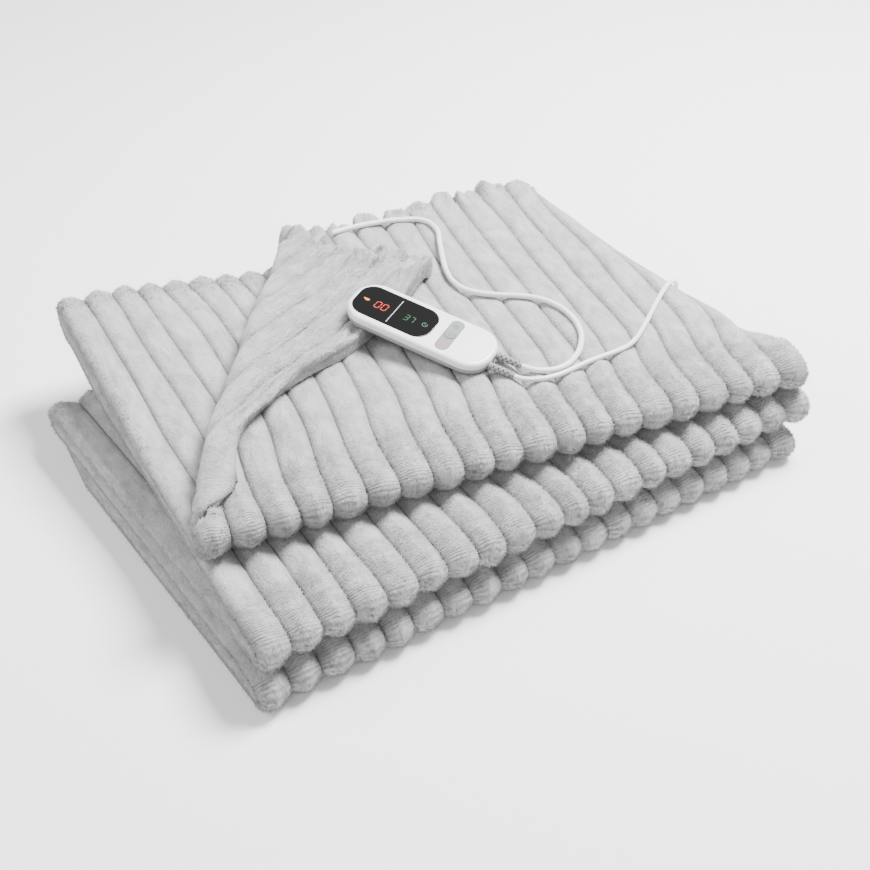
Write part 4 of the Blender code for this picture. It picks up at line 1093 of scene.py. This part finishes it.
def quarter(radius, low, high, at_top, steps):
    """Stations of a wall from low to high with one rim rounded by a quarter circle, and a
    narrow flat band inside it."""
    angle = np.linspace(0.0, math.pi / 2.0, steps)
    if at_top:
        inset, height = radius * (1 - np.cos(angle)), high - radius * (1 - np.sin(angle))
        return [(0.0, low), (0.0, (low + height[0]) / 2), *zip(inset, height),
                (radius + FLAT_BAND, high)]
    inset, height = radius * (1 - np.sin(angle)), low + radius * (1 - np.cos(angle))
    return [(radius + FLAT_BAND, low), *zip(inset, height), (0.0, high)]


def carve(piece, *cutters):
    """Takes the cutters' shapes out of the piece, and deletes the cutters."""
    for slab in cutters:
        cut = piece.modifiers.new("cut", "BOOLEAN")
        cut.operation, cut.solver, cut.object = "DIFFERENCE", "EXACT", slab
        bpy.context.view_layer.update()
        shown = piece.evaluated_get(bpy.context.evaluated_depsgraph_get())
        piece.data = bpy.data.meshes.new_from_object(shown)
        piece.modifiers.clear()
        bpy.data.objects.remove(slab, do_unlink=True)
    piece.data.set_sharp_from_angle(angle=SHARP)


def cutter(stations, *size):
    """A bare rounded slab to cut with, in place on the pile."""
    points, faces = rounded_slab(stations, *size)
    return to_scene("cutter", new_mesh("cutter", on_control(points), faces))


# %% [markdown]
# ABS is injected into a polished or a spark-eroded mould, and takes over its skin: gloss above,
# satin below. The window is clear acrylic painted black from behind. The keys are silicone.

# %% Materials of the control
# glossy white ABS: a soft sharp highlight over a faint spark-eroded texture
white_abs = moulded("moulded ABS, glossy white", "#f7f7f7", 0.30, 1.1, 0.00006, coat=0.35)
# the lower shell: same resin, light grey and satin, painted darker as shade so it reads as a shadow
# line
grey_abs_with_painted_shade = moulded("moulded ABS, light grey with painted shade, satin", "#9d9d9e", 0.42, 1.1, 0.00008)
# back-painted acrylic window: deep black under a hard gloss
black_acrylic = moulded("back-painted acrylic, black", "#0b0b0c", 0.12, 4.0, 0.00001, coat=0.25)
# silicone keys: matt, a little soft
grey_silicone = moulded("moulded silicone keys, grey", "#7e7f7f", 0.60, 0.9, 0.00005)
# the sleeves are soft PVC: matt, a little darker than the lower shell
relief_pvc = moulded("moulded soft PVC, grey", "#8b8c8c", 0.55, 1.0, 0.00008)

# %% Shells
pocket_floor = CONTROL_THICK - POCKET_DEPTH
window_top, key_top = CONTROL_THICK + PROUD, CONTROL_THICK + BUTTON_PROUD


def control_piece(name, stations, length, width, corner, material, x=0.0, body="blanket",
                  count=160):
    """A rounded slab set down on the pile, smooth but for its sharp edges."""
    points, faces = rounded_slab(stations, length, width, corner, x, count)
    piece = new_piece(name, on_control(points), faces, material, body)
    piece.data.set_sharp_from_angle(angle=SHARP)
    return piece


lower_shell = control_piece(
    "control_shell_lower", quarter(LOWER_ROUND, 0.0, SEAM_HEIGHT, False, 12),
    CONTROL_LENGTH, CONTROL_WIDTH, CONTROL_CORNER, grey_abs_with_painted_shade)
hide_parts("control_lower_shell")
upper_shell = control_piece(
    "control_shell_upper", quarter(UPPER_ROUND, SEAM_HEIGHT + GAP, CONTROL_THICK, True, 12),
    CONTROL_LENGTH, CONTROL_WIDTH, CONTROL_CORNER, white_abs)
above = CONTROL_THICK + 0.01
pocket = [(0.0, pocket_floor), (0.0, above)]
well = [(0.0, pocket_floor - KEY_HOLE_DEPTH), (0.0, above)]
hole = BUTTON_RADIUS + GAP
key_hole = (2 * hole, 2 * hole, hole, STRIP_X, 64)
carve(upper_shell,
      cutter(pocket, LENS_LENGTH + 2 * GAP, LENS_WIDTH + 2 * GAP, LENS_CORNER + GAP, LENS_X),
      cutter(pocket, STRIP_WIDTH + 2 * GAP, STRIP_LENGTH + 2 * GAP, STRIP_CORNER + GAP, STRIP_X),
      cutter(well, *key_hole))
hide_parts("control_upper_shell")

# %% Window, strip and key
thin_wall = quarter(WINDOW_EDGE, pocket_floor + GAP, window_top, True, 6)
window = control_piece("display_window", thin_wall, LENS_LENGTH, LENS_WIDTH, LENS_CORNER,
                       black_acrylic, LENS_X)
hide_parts("display_lens")
strip = control_piece("key_strip_pad", thin_wall, STRIP_WIDTH, STRIP_LENGTH, STRIP_CORNER,
                      grey_silicone, STRIP_X)
carve(strip, cutter(well, *key_hole))
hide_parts("key_strip")
# the key's top has a shallow ring groove a quarter of a millimetre deep
key_wall = [*quarter(WINDOW_EDGE, pocket_floor + GAP, key_top, True, 6)[:-1], (0.0012, key_top),
            (0.0015, key_top - 0.00025), (0.0019, key_top - 0.00025), (0.0022, key_top)]
key = control_piece("power_key", key_wall, 2 * BUTTON_RADIUS, 2 * BUTTON_RADIUS,
                    BUTTON_RADIUS - 1e-6, grey_silicone, STRIP_X, "power_button", 64)
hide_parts("power_button")

# %% [markdown]
# ## Display and key symbols
#
# The window shows two numbers of two digits and small signs beside them. A digit is up to
# seven bars. A bar is a long hexagon, and a ring sign is an arc with a width. All are printed
# pads 0.06 mm high, so that they are real geometry and stay sharp from close by.

# %% Shapes of the signs
PRINT, PRINT_FOOT = 0.00006, 0.00004    # how high a sign stands, and how deep it starts


def glowing(name, colour, strength):
    """A lit or printed sign: its colour as paint, with some light of its own, which on a printed
    sign is a painted glow. The diffuser behind it is a little uneven, 1.5 mm across."""
    material, tree, surface = new_material(name, {"Roughness": 0.4,
                                                  "Emission Strength": strength})
    uneven = add(tree, "TexNoise", {"Vector": add(tree, "TexCoord").outputs["Object"],
                                    "Scale": 650.0})
    tone = add(tree, "Mix", {"Factor": uneven, "A": darker(colour, 0.75), "B": linear(colour)},
               data_type="RGBA")
    fill(surface, {"Base Color": tone, "Emission Color": tone})
    return material


def bar(start, end, half_width):
    """A long hexagon from start to end, pointed at both ends."""
    start, end = np.array(start), np.array(end)
    ahead = (end - start) / np.linalg.norm(end - start) * half_width
    side = np.array([-ahead[1], ahead[0]])
    return np.array([start, start + ahead - side, end - ahead - side, end,
                     end - ahead + side, start + ahead + side])


def arc(centre, radius, half_width, first, last, count=28):
    """An arc of a ring, as one closed outline: out along one radius, back along the other."""
    turn = np.radians(np.linspace(first, last, count))
    ray = np.column_stack([np.cos(turn), np.sin(turn)])
    return centre + np.vstack([ray * (radius + half_width), ray[::-1] * (radius - half_width)])


DIGIT_BARS = {
    # start and end of each bar, in halves of the digit's width and height
    "a": (-1, 1, 1, 1), "b": (1, 1, 1, 0), "c": (1, 0, 1, -1), "d": (-1, -1, 1, -1),
    "e": (-1, 0, -1, -1), "f": (-1, 1, -1, 0), "g": (-1, 0, 1, 0),
}
SLANT = 0.10


def digit(lit, centre, width, height, half_width):
    """Bars of a seven-bar digit, each shortened by a quarter of its thickness at both ends."""
    made = []
    for name in lit:
        start, end = np.reshape(DIGIT_BARS[name], (2, 2)) * (width / 2.0, height / 2.0)
        step = (end - start) / np.linalg.norm(end - start) * half_width * 0.5
        shape = bar(start + step, end - step, half_width)
        made.append(centre + shape + np.column_stack([shape[:, 1] * SLANT, 0.0 * shape[:, 1]]))
    return made


def print_signs(name, shapes, level, material, body):
    """Each flat outline becomes a closed pad: a lower face, an upper face and a wall."""
    points, faces = [], []
    for shape in shapes:
        first = sum(len(part) for part in points)
        pad, pad_faces = closed_tube([
            np.column_stack([shape, np.full(len(shape), height)])
            for height in (level - PRINT_FOOT, level + PRINT)])
        points.append(pad)
        faces += [[first + corner for corner in face] for face in pad_faces]
    new_piece(name, on_control(np.vstack(points)), faces, material, body, smooth=False)


# %% Signs of the window and the keys
# lit numbers shine through the window; the divider and the signs on the strip are printed, and
# their shine is a painted glow
red = glowing("lit display, red", "#c4241f", 0.45)
green = glowing("lit display, dim green", "#1c5f36", 0.18)
amber = glowing("lit display, amber", "#e08a35", 0.7)
# the emission of these screen prints is a painted glow; a print gives no light
white_print = glowing("screen print with painted glow, pale grey", "#d9d9d9", 0.15)
strip_green = glowing("screen print with painted glow, green", "#007a3a", 0.03)
strip_amber = glowing("screen print with painted glow, amber", "#dc6000", 0.03)
strip_grey = glowing("screen print, grey", "#4e4f4f", 0.0)
RED_DIGIT, GREEN_DIGIT = (0.0050, 0.0090, 0.00044), (0.0040, 0.0076, 0.00034)
signs = {
    "sign_power_level": (red, window_top, [
        *digit("abcdef", (-0.0490, -0.0016), *RED_DIGIT),
        *digit("abcdef", (-0.0414, -0.0016), *RED_DIGIT)]),
    "sign_hours": (green, window_top, [
        *digit("abcdg", (-0.0166, -0.0018), *GREEN_DIGIT),
        *digit("abc", (-0.0104, -0.0018), *GREEN_DIGIT)]),
    "sign_divider": (white_print, window_top, [
        bar((-0.0306, -0.0184), (-0.0306, 0.0172), 0.00026)]),
    "sign_clock": (green, window_top, [
        arc((0.0031, -0.0010), 0.0026, 0.00036, 75, 395),
        bar((0.0031, -0.0012), (0.0031, 0.0004), 0.00030),
        bar((0.0029, -0.0012), (0.0046, -0.0012), 0.00030)]),
    "sign_heat": (amber, window_top, [
        bar((-0.0660, -0.0002), (-0.0612, 0.0004), 0.00060),
        bar((-0.0642, -0.0014), (-0.0594, -0.0010), 0.00085),
        bar((-0.0618, 0.0006), (-0.0592, 0.0000), 0.00050)]),
    "key_sign_clock": (strip_green, window_top, [
        arc((STRIP_X, 0.0135), 0.0024, 0.00048, 60, 380),
        bar((STRIP_X, 0.0133), (STRIP_X, 0.0149), 0.00038),
        bar((STRIP_X - 0.0002, 0.0133), (STRIP_X + 0.0015, 0.0133), 0.00038)]),
    "key_sign_heat": (strip_amber, window_top, [
        bar((STRIP_X - 0.0030, -0.0137), (STRIP_X + 0.0014, -0.0133), 0.00065),
        bar((STRIP_X - 0.0014, -0.0154), (STRIP_X + 0.0030, -0.0150), 0.00090)]),
    "key_sign_power": (strip_grey, key_top, [
        arc((STRIP_X, 0.0), 0.0016, 0.00028, 120, 420),
        bar((STRIP_X, 0.0006), (STRIP_X, 0.0021), 0.00026)]),
}
for name, (material, level, shapes) in signs.items():
    print_signs(name, shapes, level, material,
                "power_button" if level == key_top else "blanket")
print("signs", len(signs))

# %% [markdown]
# ## Strain reliefs
#
# Where a lead enters the control, a soft moulded sleeve keeps it from kinking. Its wall is
# pierced by short slots in rings, and each ring is turned half a slot against the next, so the
# sleeve bends evenly. The surface is a cone whose radius drops smoothly inside each slot.

# %% Two sleeves
RELIEF_LENGTH, RELIEF_ROOT, RELIEF_TIP = 0.026, 0.0042, 0.0034
RELIEF_SPREAD, RELIEF_HEIGHT, RELIEF_LIFT = 0.0083, 0.0075, math.radians(2)
SLOT_RINGS, SLOTS_ROUND, SLOT_DEPTH = 9, 4, 0.0011
SLOTS_FROM, SLOTS_TO = 0.05, 0.93       # shares of the sleeve's length
SLOT_SHARP = math.radians(60)


def sleeve(side):
    """Radius = taper less slot depth where two smooth steps overlap, along and round."""
    along, turn = np.meshgrid(np.linspace(0.0, 1.0, 109), np.linspace(0, 2 * np.pi, 72, False),
                              indexing="ij")
    radius = RELIEF_ROOT + (RELIEF_TIP - RELIEF_ROOT) * along
    ring = np.clip((along - SLOTS_FROM) / (SLOTS_TO - SLOTS_FROM), 0.0, 0.9999) * SLOT_RINGS
    in_ring = ease(0.30 - np.abs(ring % 1.0 - 0.5), 0.0, 0.08)
    in_turn = ease(np.cos(SLOTS_ROUND * turn + np.pi * np.floor(ring)), -0.45, -0.15)
    shown = (along > SLOTS_FROM) & (along < SLOTS_TO)
    radius = radius - SLOT_DEPTH * in_ring * in_turn * shown
    # out of the shell's end, turned up by two degrees against the control's own dip
    x = CONTROL_LENGTH / 2.0 + 0.0005 + RELIEF_LENGTH * along * math.cos(RELIEF_LIFT)
    y = side * RELIEF_SPREAD + radius * np.cos(turn)
    z = RELIEF_HEIGHT + RELIEF_LENGTH * along * math.sin(RELIEF_LIFT) + radius * np.sin(turn)
    return closed_tube(np.dstack([x, y, z]))


for name, side, node in (("sleeve_blanket_lead", 1, "relief_blanket_lead"),
                         ("sleeve_mains_lead", -1, "relief_mains_lead")):
    points, faces = sleeve(side)
    piece = new_piece(name, on_control(points), faces, relief_pvc)
    piece.data.set_sharp_from_angle(angle=SLOT_SHARP)
    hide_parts(node)

# %% [markdown]
# ## Floor and light
#
# A plain pale floor and three large soft lights, as in a product studio: one broad light from
# above right, which brings out the ribs, a weaker one from the left, a weak one from the front,
# and a bright surround. The broad one stands clear of the place that the window mirrors.

# %% Stage
floor_paint, _, _ = new_material("matt white studio floor", {
    "Roughness": 0.9, "Base Color": linear("#fafafa")})
floor_mesh = new_mesh("floor", [(-4, -4, 0), (4, -4, 0), (4, 6, 0), (-4, 6, 0)], [(0, 1, 2, 3)])
floor_mesh.materials.append(floor_paint)
floor = to_scene("floor", floor_mesh)

world = bpy.data.worlds.new("studio")
bpy.context.scene.world = world
world.use_nodes = True
fill(world.node_tree.nodes["Background"], {"Color": linear("#ffffff"), "Strength": 0.43})


def soft_light(name, place, aim, size, power):
    """A square area light at a place, turned so that its -Z axis points at the aim."""
    lamp = bpy.data.lights.new(name, "AREA")
    lamp.size, lamp.energy = size, power
    thing = to_scene(name, lamp)
    thing.location = place
    thing.rotation_euler = (Vector(place) - Vector(aim)).to_track_quat("Z", "Y").to_euler()


PILE_HEART = (0.0, 0.0, 0.05)
soft_light("key", (1.15, 0.25, 2.0), PILE_HEART, 0.9, 216.0)
soft_light("side", (-1.6, 0.5, 1.5), PILE_HEART, 1.2, 34.0)
soft_light("front", (-0.6, -1.9, 1.9), (0.0, -0.1, 0.05), 1.4, 16.0)
